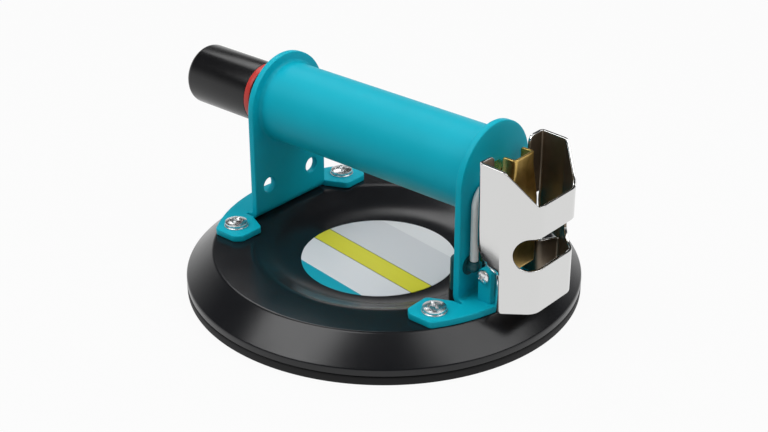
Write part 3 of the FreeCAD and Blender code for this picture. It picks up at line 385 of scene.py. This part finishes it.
def printed_film(centre, slant):
    """Laminated film label with plain printed fields: a yellow band between dark rules and a teal edge
    field. The paler field opposite is a painted reflection of the bright surroundings in the film's
    gloss. v is the distance across the bands from the label's centre."""
    material, tree, bsdf, place = finish("laminated_label_film", "#E4E5E8", Roughness=0.35,
                                         **{"Coat Weight": 0.2, "Coat Roughness": 0.25})
    turn = add(tree, "ShaderNodeMapping", {"Vector": place, "Location": [-c * MM for c in centre]})
    spin = add(tree, "ShaderNodeMapping", {"Vector": turn.outputs[0], "Rotation": (0, 0, slant)})
    across = add(tree, "ShaderNodeSeparateXYZ", {"Vector": spin.outputs[0]}).outputs["Y"]
    colour = bsdf.inputs["Base Color"].default_value[:]
    # From 27 mm up, the pale #F4F5F6 field is a painted reflection of the bright surroundings, not
    # print.
    for low, high, code in ((27.0, 99, "#F4F5F6"), (-12.0, 0.3, "#2A2A26"), (-11.6, -0.1, "#E8E234"),
                            (-31.6, -12.0, "#ECEDF0"), (-99, -31.6, "#1CABC0")):
        middle, half = (low + high) / 2 * MM, (high - low) / 2 * MM
        field = add(tree, "ShaderNodeMath", {0: across, 1: middle, 2: half}, operation="COMPARE")
        colour = between(tree, field.outputs[0], colour, linear(code))
    tree.links.new(colour, bsdf.inputs["Base Color"])
    return material


def dress(piece, material, body="frame", stands_for=()):
    """Gives a finished piece its material, body and the CAD nodes that it stands for."""
    piece.data.materials.clear()
    piece.data.materials.append(material)
    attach(piece, body)
    if stands_for:
        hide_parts(*stands_for)


teal = powder_coat()
black_base = moulded_black("moulded_gloss_black_abs", "#151619", 0.22, 0.003)
black_sleeve = moulded_black("moulded_black_nylon_sleeve", "#0F0F11", 0.25, 0.003)
black_nylon = moulded_black("turned_black_acetal", "#1A1A1B", 0.38, 0.01)
elbow_nylon = moulded_black("moulded_dark_teal_nylon", "#0B4A50", 0.38, 0.004)
rubber = nitrile_rubber()
chrome = chrome_plate()
gold = yellow_passivate()
zinc = plated("bright_zinc_plated_steel", "#E2E4E5", 0.24, 0.004)
spring_wire = plated("drawn_spring_steel", "#9FA1A3", 0.28)
brass = plated("turned_brass", "#CBA254", 0.25, 0.003)
honed_alloy = plated("honed_aluminium_tube", "#C4C6C8", 0.3)
red = moulded_colour("moulded_red_polypropylene", "#C8352D", 0.35)
vinyl = vinyl_hose()

for node, material in {
        "piston_seal": rubber, "head_seal": rubber, "stem_seal": rubber,
        "guard_nuts": zinc, "bracket_rivets": zinc, "lever_pin": zinc,
        "foot_inserts": brass, "valve_body": brass, "valve_stem": brass,
        "barrel_head": black_nylon, "piston": black_nylon, "base_port": black_nylon,
        "pump_barrel": honed_alloy, "feed_elbow": elbow_nylon, "lever_bracket": gold}.items():
    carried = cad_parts[node]
    carried.data.materials.clear()
    carried.data.materials.append(material)


# ---- suction base --------------------------------------------------------------------------

CREST = 19.9            # top of the base's crest
PLATE = 3.4             # sheet of the uprights
FOOT_TOP = CREST + PLATE
HANDLE = 79.4           # height of the handle's axis
RIM = 100.0             # outer radius of base and pad
SEAT = 8.6              # height at which the pad meets the base
SEAT_RADIUS = 95.5
BOWL = 12.0             # floor of the bowl
CUP = 6.0               # roof of the pad's hollow
RIB_TIP = 5.2           # lowest line of the pad's ribs
RIB_HALF = 1.2
LABEL_TOP = 12.3
LABEL_RADIUS = 39.3
LABEL_PLACE = (-1.0, -3.0, 0)
LABEL_SLANT = 8.4       # degrees

base = turned("base_shell", rounded([
    (SEAT, 0), (SEAT, SEAT_RADIUS), (4.7, SEAT_RADIUS), (4.7, RIM, 0.4), (8.0, RIM, 1.6),
    (CREST, 86.2, 2.6), (CREST, 65.5, 12.0), (BOWL, 48.0, 40.0), (BOWL, 0)], 12), "z", sectors=256)
dress(base, black_base, stands_for=["base_plate"])

rib_lines = [corner for ring in (72, 54, 36) for corner in (
    (CUP, ring + RIB_HALF, 0.3), (RIB_TIP, ring + RIB_HALF, 0.3),
    (RIB_TIP, ring - RIB_HALF, 0.3), (CUP, ring - RIB_HALF, 0.3))]
pad = turned("sealing_pad", rounded(
    [(0, RIM, 0.5), (0, 97, 0.2), (CUP, 88.0, 1.0)] + rib_lines
    + [(CUP, 0), (SEAT, 0), (SEAT, 95.45), (4.4, 95.45, 0.4), (4.4, RIM, 1.1)], 5), "z", sectors=256)
dress(pad, rubber, stands_for=["vacuum_pad"])

label = turned("label_film", rounded([
    (BOWL, 0), (BOWL, LABEL_RADIUS), (LABEL_TOP, LABEL_RADIUS, 0.15), (LABEL_TOP, 0)], 3), "z",
    LABEL_PLACE, 192)
dress(label, printed_film(LABEL_PLACE, math.radians(LABEL_SLANT)), stands_for=["label_disc"])


# ---- uprights ------------------------------------------------------------------------------

FACE = 64.4             # gap-side face of a wall, from the middle of the handle
BIG = 5.4               # bend radius on that side
HALF = 26.0             # half width of a wall
REACH = 86.2            # rim radius of a foot
SIDE = 49.8             # half width over a foot's ears
NICK = 1.5              # width of the relief nicks beside the bend
ARC = BIG * math.pi / 2
PLATE_EDGE = 0.45       # rounding of the cut edges
SCREW_X, SCREW_Y = 65.0, 40.3
BORE = 18.2             # inside of the handle tube
HOSE_Y = -18.6
TAB_FACE = 19.5         # outer face of the guard tabs
TAB_SCREW = (77.4, 37.1)
TAB_BACK, TAB_FRONT, TAB_TOP, TAB_ROUND = 74.0, 81.4, 41.0, 3.6


def bent_foot(side):
    """Bend of an upright. s runs up the wall from the top of the bend: above 0 it is height,
    through the quarter arc it is arc length, and below that it is distance out along the foot. The
    ears outside the wall's width stay flat in the foot's plane. Depth w goes from the gap side
    outwards and upwards."""
    def bend(s, t, w):
        swing = np.clip(-s / ARC, 0, 1) * math.pi / 2
        x = FACE + BIG - (BIG - w) * np.cos(swing) + np.maximum(-s - ARC, 0)
        z = CREST + BIG - (BIG - w) * np.sin(swing) + np.maximum(s, 0)
        ear = abs(t) > HALF + NICK / 2
        x = np.where(ear, FACE + BIG - ARC - s, x)
        z = np.where(ear, CREST + w, z)
        return np.stack([side * x, side * t, z], -1)
    return bend


def on_foot(x, y, radius=0.0):
    """Pattern place of a point of the foot at distance x from the middle of the handle."""
    return FACE + BIG - ARC - x, y, radius


def circle(s, t, radius, count=28):
    """Clockwise hole."""
    turn = np.linspace(0, -2 * math.pi, count, endpoint=False)
    return np.stack([s + radius * np.cos(turn), t + radius * np.sin(turn)], 1)


def upright_pattern(holes):
    """Flat pattern of an upright: full-round wall, relief nicks beside the bend, and a foot with
    two ears."""
    top = HANDLE - CREST - BIG
    turn = np.linspace(-math.pi / 2, math.pi / 2, 48)
    crown = np.stack([top + HALF * np.cos(turn), HALF * np.sin(turn)], 1)
    rim_turn = np.linspace(1, -1, 40) * (math.asin(SIDE / REACH) - 0.045)
    rim = np.stack([FACE + BIG - ARC - REACH * np.cos(rim_turn), REACH * np.sin(rim_turn)], 1)
    tip = math.sqrt(REACH ** 2 - SIDE ** 2)
    ear = rounded([on_foot(70.4, HALF), on_foot(70.4, HALF + NICK), on_foot(66.0, HALF + NICK, 0.6),
                   on_foot(54.0, 33.1, 3), on_foot(54.0, 46.5, 3), on_foot(57.5, SIDE, 3),
                   on_foot(tip, SIDE, 3), on_foot(tip + 3.1, SIDE - 4.2)], 6, closed=False)[:-1]
    outer = np.vstack([crown, ear, rim, ear[::-1] * (1, -1)])
    level = CREST + BIG
    feet = [circle(*on_foot(SCREW_X, hand * SCREW_Y)[:2], 2.4) for hand in (-1, 1)]
    return [outer] + feet + [circle(z - level, y, radius) for y, z, radius in holes]


wall_rows = np.concatenate([np.arange(-26, -8.6, 2.5), np.linspace(-ARC, 0, 10),
                            np.arange(2.5, 84, 2.5)])
wall_columns = np.arange(-47.5, 48.5, 2.5)
pump_side = pressed("pump_side_upright", upright_pattern(
    [(15.8, 37.3, 4.1), (-15.8, 37.3, 4.1), (0, HANDLE, BORE)]), PLATE, PLATE_EDGE, bent_foot(-1),
    wall_rows, wall_columns)
dress(pump_side, teal, stands_for=["pump_upright"])

valve_side = pressed("valve_side_upright", upright_pattern(
    [(HOSE_Y, 39.5, 4.1), (0, HANDLE, 6.2), (-4.5, 42.5, 1.5), (4.5, 42.5, 1.5)]), PLATE, PLATE_EDGE,
    bent_foot(1), wall_rows, wall_columns)
tab_outline = rounded([(TAB_BACK, FOOT_TOP - 0.6), (TAB_FRONT, FOOT_TOP - 0.6),
                       (TAB_FRONT, TAB_TOP, TAB_ROUND), (TAB_BACK, TAB_TOP, TAB_ROUND)], 8)
tabs = [pressed(
    f"guard_tab_{end}", [tab_outline, circle(*TAB_SCREW, 1.7, 16)], PLATE, PLATE_EDGE,
    lambda s, t, w, hand=hand: np.stack([s, hand * (TAB_FACE - w), t], -1),
    np.arange(75, 82, 2.0), np.arange(24, 42, 2.0)) for hand, end in ((-1, "near"), (1, "far"))]
for piece in [valve_side] + tabs:
    dress(piece, teal)
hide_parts("valve_upright")

# ---- handle tube ---------------------------------------------------------------------------

AXLE = (0, 0, HANDLE)
WELD_TOE = 22.8         # radius at which the weld meets the wall
WELD = 2.15             # leg of its fillet


def weld_ripple(along, radius, turn):
    """The fillet rises and falls a little round the joint, most where it is thickest."""
    bead = np.clip((radius - 20.7) / 2.1, 0, 1)
    return bead * (0.16 * np.sin(17 * turn) + 0.10 * np.sin(29 * turn + 1.3) - 0.2)


root = np.linspace(0, math.pi / 2, 9)
left_weld = np.stack([-FACE + WELD * (1 - np.cos(root)), WELD_TOE - WELD * np.sin(root)], 1)
tube = turned("handle_tube_wall", np.vstack([
    [(-FACE, BORE)], left_weld, left_weld[::-1] * (-1, 1), [(FACE, BORE)]]), "x", AXLE, 220,
    weld_ripple)
dress(tube, teal, stands_for=["handle_tube"])


# ---- pump ----------------------------------------------------------------------------------

sleeve = turned("plunger_sleeve", rounded([
    (-124.4, 0), (-124.4, 15.8, 3.2), (-81.2, 15.8, 0.25), (-81.2, 14.9), (-77.6, 14.9),
    (-77.6, 15.8, 0.25), (-54.7, 15.8, 0.3), (-54.7, 13.3), (-121.9, 13.3, 1.5), (-121.9, 0)], 8),
    "x", AXLE, 160)
dress(sleeve, black_sleeve, "plunger_unit", ["plunger"])
band = turned("depth_ring", rounded([
    (-81.15, 14.9), (-81.15, 15.78, 0.3), (-77.65, 15.78, 0.3), (-77.65, 14.9)], 4), "x", AXLE, 160)
dress(band, red, "plunger_unit", ["indicator_ring"])
bush = turned("guide_bush", rounded([
    (-71.8, 15.9, 0.4), (-71.8, 22.0, 1.0), (-67.8, 22.0, 0.3), (-67.8, 16.95), (-55.0, 16.95, 0.3),
    (-55.0, 15.9)], 5), "x", AXLE, 160)
dress(bush, black_nylon, stands_for=["front_bush"])


# ---- springs -------------------------------------------------------------------------------

for node, wire_radius, turns, joint, fixed_end, travel in (
        ("plunger_spring", 0.7, 9, "plunger_stroke", 40.0, 45.0),
        ("valve_spring", 0.35, 4, "valve_stem_slide", 73.2, 2.6)):
    spring = coil(node + "_wire", node, wire_radius, turns)
    dress(spring, spring_wire, stands_for=[node])
    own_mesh(spring)


# ---- screws --------------------------------------------------------------------------------

def pan_head(rings, turns, radius, height, recess):
    """Pan head seen from above: a flat crown falling to a rounded rim, less a cross recess whose
    four arms narrow and shallow outwards. Returns grid heights over polar places."""
    share = rings[:, None]
    x, y = share * radius * np.cos(turns), share * radius * np.sin(turns)
    dome = height * (1 - 0.42 * share ** 2.6) * np.ones_like(x)
    reach = np.sqrt(x * x + y * y) / recess
    narrow = 0.23 * recess * (1 - 0.45 * np.clip(reach, 0, 1))
    arm = np.maximum(1 - (np.minimum(abs(x), abs(y)) / narrow) ** 4, 0)
    arm = arm * np.clip(2.2 * (1 - reach), 0, 1)
    core = np.clip(1.6 - 3.4 * reach, 0, 1)
    return x, y, dome - height * 0.62 * np.maximum(arm, core)


def cross_screw(name, seat, radius, height, turn, axis="z"):
    """Pan-head screw with a cross recess, its axis through the seat."""
    rings = np.concatenate([np.linspace(0, 0.75, 26), np.linspace(0.78, 1, 8)])
    turns = np.linspace(0, 2 * math.pi, 96, endpoint=False)[None, :]
    x, y, z = pan_head(rings, turns, radius, height, radius * 0.66)
    skirt = np.array([0.52, 0.46, 0.38, 0.12, 0.03, 0.0])[:, None] * height
    grow = np.array([1.010, 1.016, 1.02, 1.02, 1.01, 0.99])[:, None]
    ring_x, ring_y = x[-1:] * grow, y[-1:] * grow
    x, y, z = np.vstack([x, ring_x, x[:1] * 0]), np.vstack([y, ring_y, y[:1] * 0]), np.vstack(
        [z, skirt * np.ones_like(ring_x), z[:1] * 0])
    c, s = math.cos(turn), math.sin(turn)
    spread = (c * x - s * y, s * x + c * y, z)
    order = {"z": (0, 1, 2), "y": (0, 2, 1)}[axis]
    points = np.stack([spread[place] for place in order], -1)
    if axis == "y":
        points[..., 1] *= math.copysign(1, seat[1])
    return solid(name, (points + np.array(seat, float)).reshape(-1, 3), net(*x.shape, False, True), 30)


WASHER = 0.8


def washer(name, seat):
    """Plain washer with its punched edge rolled over on the upper side."""
    z = seat[2]
    return turned(name, rounded([
        (z, 2.4), (z, 6.2, 0.1), (z + WASHER, 6.2, 0.4), (z + WASHER, 2.4)], 4), "z",
        (seat[0], seat[1], 0), 96)


for number, (along, across, turn) in enumerate((
        (-1, -1, 0.35), (1, -1, 1.1), (-1, 1, 0.8), (1, 1, 0.1))):
    x, y = along * SCREW_X, across * SCREW_Y
    dress(cross_screw(f"foot_screw_head_{number}", (x, y, FOOT_TOP + WASHER), 5.65, 2.6, turn), zinc)
    dress(washer(f"foot_washer_{number}", (x, y, FOOT_TOP)), zinc)
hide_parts("foot_screws")
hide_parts("foot_washers")
for number, hand in enumerate((-1, 1)):
    dress(cross_screw(f"guard_screw_head_{number}", (TAB_SCREW[0], hand * TAB_FACE, TAB_SCREW[1]),
                      3.2, 2.2, 0.5, "y"), zinc)
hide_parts("guard_screws")


# ---- air hose ------------------------------------------------------------------------------

HOSE_X = 70.7
HOSE_BEND = 9.5
swing = np.linspace(0, math.pi / 2, 20)
rise = np.linspace(42.75, 69.5, 16)
hose_path = np.vstack([
    np.column_stack([np.full_like(rise, HOSE_X), np.full_like(rise, HOSE_Y), rise]),
    np.column_stack([np.full_like(swing, HOSE_X), HOSE_Y + HOSE_BEND * (1 - np.cos(swing)),
                     HANDLE - HOSE_BEND + HOSE_BEND * np.sin(swing)]),
    [(HOSE_X, -8.3, HANDLE), (HOSE_X, -7.3, HANDLE)]])
hose = swept("air_line", hose_path, 2.0)
dress(hose, vinyl, stands_for=["air_hose"])


# ---- release lever -------------------------------------------------------------------------

SHEET = 1.5             # sheet of lever and guard
SHEET_EDGE = 0.35       # rounding of its cut edges
LEVER_HALF = 11.6
LEVER_FOOT, LEVER_TOP = 36.5, 93.5
LEVER_REAR, LEVER_FRONT = 76.7, 84.0


def channel_bend(path_half):
    """Bend of the lever's pattern: u runs across the channel, along one flange, round a fold of 1.8
    mm, over the front plate and back along the other flange. Above the shoulder the plate narrows
    with its flanges."""
    section = rounded([(LEVER_REAR, -path_half), (LEVER_FRONT, -path_half, 1.8),
                       (LEVER_FRONT, path_half, 1.8), (LEVER_REAR, path_half)], 10, closed=False)
    section = resampled(section, 0.6, closed=False)
    length = np.append(0, np.cumsum(np.linalg.norm(np.diff(section, axis=0), axis=1)))
    length -= length[-1] / 2
    along = np.gradient(section, axis=0)
    along /= np.linalg.norm(along, axis=1, keepdims=True)

    def bend(u, z, w):
        x, y, dx, dy = (np.interp(u, length, values) for values in (*section.T, *along.T))
        size = np.hypot(dx, dy)
        x, y = x - dy / size * w, y + dx / size * w
        half = np.interp(z, (68.0, 88.0), (12.2, 7.8))
        shift = np.sign(y) * np.minimum(abs(y) / 8.0, 1) * (half - path_half)
        return np.stack([x, y + shift, z], -1)
    return bend, length[-1]


lever_bend, reach = channel_bend(LEVER_HALF)
lever_outline = rounded([
    (-reach, LEVER_FOOT, 1.0), (-reach + 3, LEVER_FOOT - 1, 1), (reach - 3, LEVER_FOOT - 1, 1),
    (reach, LEVER_FOOT, 1.0), (reach, LEVER_TOP, 1.0), (-reach, LEVER_TOP, 1.0)], 5)
lever_rows = np.concatenate([
    np.arange(-reach + 0.9, -11.2, 1.6), np.arange(-12.6, -9.2, 0.45), np.arange(-9, 9.5, 2.25),
    np.arange(9.3, 12.7, 0.45), np.arange(13, reach, 1.6)])
lever = pressed("lever_channel", [lever_outline], SHEET, SHEET_EDGE, lever_bend, lever_rows,
                np.arange(LEVER_FOOT, LEVER_TOP, 2.0))
dress(lever, gold, "lever", ["release_lever"])


# ---- guard ---------------------------------------------------------------------------------

STEP = 44.0             # height at which the skirt turns in
WALL = 24.6             # outer face of a side wall
SKIRT = 16.1            # outer face of the skirt behind a tab
REAR = 75.4             # rear end of a side wall
FOLD, CORNER = (103.4, 14.7), (90.6, WALL)
SLIT = (89.3, WALL)     # front end of the cut between wall and skirt
SHOULDER, TOP, DIP = 65.0, 96.6, 79.1


def plan_path(tail):
    """Plan line of the guard's outer skin from one rear end to the other, with 2.5 mm folds behind,
    4 mm ones at the corners and 8 mm ones at the front, measured from the middle of the front wall."""
    half = [tail[0]] + [(*place, 2.5) for place in tail[1:]]
    half += [(CORNER[0], -CORNER[1], 4.0), (FOLD[0], -FOLD[1], 8.0)]
    line = rounded(half + [(x, -y, *rest) for x, y, *rest in half[::-1]], 10, closed=False)
    line = resampled(line, 0.8, closed=False)
    length = np.append(0, np.cumsum(np.linalg.norm(np.diff(line, axis=0), axis=1)))
    along = np.gradient(line, axis=0)
    along /= np.linalg.norm(along, axis=1, keepdims=True)
    return line, length - length[-1] / 2, along


upper_path = plan_path([(REAR, -13.6), (REAR, -WALL)])
lower_path = plan_path([(73.4, -SKIRT), (83.0, -SKIRT), (87.7, -WALL)])


def reach_of(path, x, y):
    """Length along the path to the point nearest to a plan place."""
    return path[1][np.argmin(np.hypot(path[0][:, 0] - x, path[0][:, 1] - y))]


def guard_bend(u, z, w):
    """Above the step the sheet follows the deep plan line, below it the one that turns in to the
    tabs; depth goes inwards, square to the line."""
    skins = []
    for line, length, along in (upper_path, lower_path):
        x, y, dx, dy = (np.interp(u, length, values) for values in (*line.T, *along.T))
        size = np.hypot(dx, dy)
        skins.append(np.stack([x - dy / size * w, y + dx / size * w, z], -1))
    return np.where((z >= STEP)[:, None], skins[0], skins[1])


def guard_half_outline():
    """Right half of the pattern, from the middle of the bottom edge round to the middle of the dip."""
    fold, corner, slit, trim, rear = (reach_of(upper_path, *place) for place in (
        FOLD, CORNER, SLIT, (87.6, WALL), (REAR, WALL)))
    lip = upper_path[1][-1]
    joggle = reach_of(lower_path, 83.0, SKIRT)
    flange = lower_path[1][-1]
    low, high = np.array([trim, STEP]), np.array([rear, SHOULDER])
    share = np.linspace(0, 1, 12)[1:-1, None]
    climb, hollow = SHOULDER - STEP, 4.6
    away = np.array([climb, trim - rear]) / math.hypot(climb, trim - rear)
    curve = low + (high - low) * share + away * hollow * 4 * share * (1 - share)
    below = [(0, 24.2), (joggle - 1.5, 24.2, 1), (joggle + 0.5, 26.0, 1), (flange, 26.0, 1),
             (flange, STEP - 0.2, 1), (slit, STEP - 0.02), (slit, STEP + 0.001),
             (trim, STEP + 0.001)]
    above = [(rear, SHOULDER), (lip, SHOULDER, 1.0), (lip, TOP, 3.5), (rear, TOP, 1.2),
             (corner, 95.9, 5.0), (fold, DIP, 3.0), (0, DIP)]
    return np.vstack([rounded(below, 6, closed=False), curve, rounded(above, 8, closed=False)])


def guard_slot():
    """Clockwise slot whose round ends lie on the slanted facets."""
    half, level = 8.2, 54.9
    centre = reach_of(upper_path, 94.54, 21.55) - half
    turn = np.linspace(math.pi / 2, -math.pi / 2, 26)
    right = np.stack([centre + half * np.cos(turn), level + half * np.sin(turn)], 1)
    return np.vstack([right, -(right - (0, level)) + (0, level)])


half_outline = guard_half_outline()
outline = np.vstack([half_outline, (half_outline * (-1, 1))[::-1][1:-1]])
outer_rows = lower_path[1][abs(lower_path[1]) > reach_of(upper_path, *SLIT)]
fold_rows = np.unique(np.round(np.concatenate([upper_path[1], outer_rows]), 1))
guard = pressed("guard_shell", [outline, guard_slot()], SHEET, SHEET_EDGE, guard_bend, fold_rows,
                np.concatenate([np.arange(25.5, 43, 2.5), np.arange(44.8, 97, 2.5)]), 1.3)

# The inner side is every upright face that looks back at the axis down the middle of the guard.
GUARD_MIDDLE = (84.0 * MM, 0, 0)
facing, middle = np.empty(len(guard.data.polygons) * 3), np.empty(len(guard.data.polygons) * 3)
guard.data.polygons.foreach_get("normal", facing)
guard.data.polygons.foreach_get("center", middle)
outwards = (facing.reshape(-1, 3) * (middle.reshape(-1, 3) - GUARD_MIDDLE) * (1, 1, 0)).sum(1)
upright_faces = abs(facing[2::3]) < 0.25
# These faces carry the chrome material's painted shade, a dull brown-grey for the shade inside the
# guard.
inner_side = guard.data.attributes.new("inner_side", "FLOAT", "FACE")
inner_side.data.foreach_set("value", ((outwards < -0.002) & upright_faces).astype(np.float32))
dress(guard, chrome, stands_for=["guard"])


# ---- stage ---------------------------------------------------------------------------------

def stage_floor():
    """Pale floor: white to the camera and in reflections, and still darkened a little by the part's
    shadow."""
    mesh = bpy.data.meshes.new("studio_floor")
    half, level = 4.0, -2e-5
    mesh.from_pydata([(-half, -half, level), (half, -half, level), (half, half, level),
                      (-half, half, level)], [], [(0, 1, 2, 3)])
    floor = bpy.data.objects.new("studio_floor", mesh)
    bpy.context.scene.collection.objects.link(floor)
    material = bpy.data.materials.new("studio_floor_paint")
    material.use_nodes = True
    tree = material.node_tree
    tree.nodes.clear()
    paint = add(tree, "ShaderNodeBsdfDiffuse", {"Color": linear("#B9B9B9")})
    white = add(tree, "ShaderNodeEmission", {"Color": (1, 1, 1, 1), "Strength": 1.0})
    rays = add(tree, "ShaderNodeLightPath")
    seen = add(tree, "ShaderNodeMath", {0: rays.outputs["Is Camera Ray"],
                                        1: rays.outputs["Is Glossy Ray"]}, operation="MAXIMUM")
    seen = add(tree, "ShaderNodeMath", {0: seen.outputs[0], 1: rays.outputs["Is Transmission Ray"]},
               operation="MAXIMUM")
    share = add(tree, "ShaderNodeMath", {0: seen.outputs[0], 1: 0.94}, operation="MULTIPLY")
    both = add(tree, "ShaderNodeMixShader", {0: share.outputs[0], 1: paint.outputs[0],
                                             2: white.outputs[0]})
    add(tree, "ShaderNodeOutputMaterial", {"Surface": both.outputs[0]})
    mesh.materials.append(material)


def studio_world():
    """White to the camera and through clear pieces. Reflections see a white horizon that falls to a
    dim ceiling, as in a studio with a bright sweep and dark walls above it. Everything else has a
    plain level of fill."""
    world = bpy.data.worlds.new("studio_world")
    bpy.context.scene.world = world
    world.use_nodes = True
    tree = world.node_tree
    tree.nodes.clear()
    way = add(tree, "ShaderNodeTexCoord").outputs["Generated"]
    lift = add(tree, "ShaderNodeSeparateXYZ", {"Vector": way}).outputs["Z"]
    mirrored = add(tree, "ShaderNodeMapRange", {"Value": lift, "From Min": 0.02, "From Max": 0.40,
                                                "To Min": 1.0, "To Max": 0.05})
    rays = add(tree, "ShaderNodeLightPath")
    fill = 0.25
    soft = add(tree, "ShaderNodeMix", {0: rays.outputs["Is Glossy Ray"], 2: fill,
                                       3: mirrored.outputs[0]})
    clear = add(tree, "ShaderNodeMath", {0: rays.outputs["Is Camera Ray"],
                                         1: rays.outputs["Is Transmission Ray"]}, operation="MAXIMUM")
    level = add(tree, "ShaderNodeMix", {0: clear.outputs[0], 2: soft.outputs[0], 3: 1.0})
    sky = add(tree, "ShaderNodeBackground", {"Color": (1, 1, 1, 1), "Strength": level.outputs[0]})
    add(tree, "ShaderNodeOutputWorld", {"Surface": sky.outputs[0]})


def softbox(name, place, size, power):
    """Area light at a place, turned to the part."""
    lamp = bpy.data.lights.new(name, "AREA")
    lamp.shape, lamp.size, lamp.size_y, lamp.energy = "RECTANGLE", size[0], size[1], power
    holder = bpy.data.objects.new(name, lamp)
    bpy.context.scene.collection.objects.link(holder)
    holder.location = place
    aim = Vector((0, 0, 0.05)) - Vector(place)
    holder.rotation_euler = aim.to_track_quat("-Z", "Y").to_euler()


stage_floor()
studio_world()
softbox("key_softbox", (-0.28, -0.49, 1.0), (0.65, 0.85), 7.0)
softbox("rear_softbox", (0.54, 0.33, 0.95), (0.95, 0.8), 6.0)
softbox("strip_softbox", (-0.67, 0.40, 0.84), (0.5, 0.35), 1.6)

camera_data = bpy.data.cameras.new("camera")
camera_data.lens, camera_data.sensor_width = 69.95, 36.0
camera = bpy.data.objects.new("camera", camera_data)
bpy.context.scene.collection.objects.link(camera)
turn, lift = math.radians(40.5), math.radians(27.55)
back = Vector((math.sin(turn) * math.cos(lift), -math.cos(turn) * math.cos(lift), math.sin(lift)))
camera.location = (0.4311, -0.5048, 0.3809)
camera.rotation_euler = (-back).to_track_quat("-Z", "Y").to_euler()
bpy.context.scene.camera = camera
bpy.context.scene.view_settings.view_transform = "Standard"
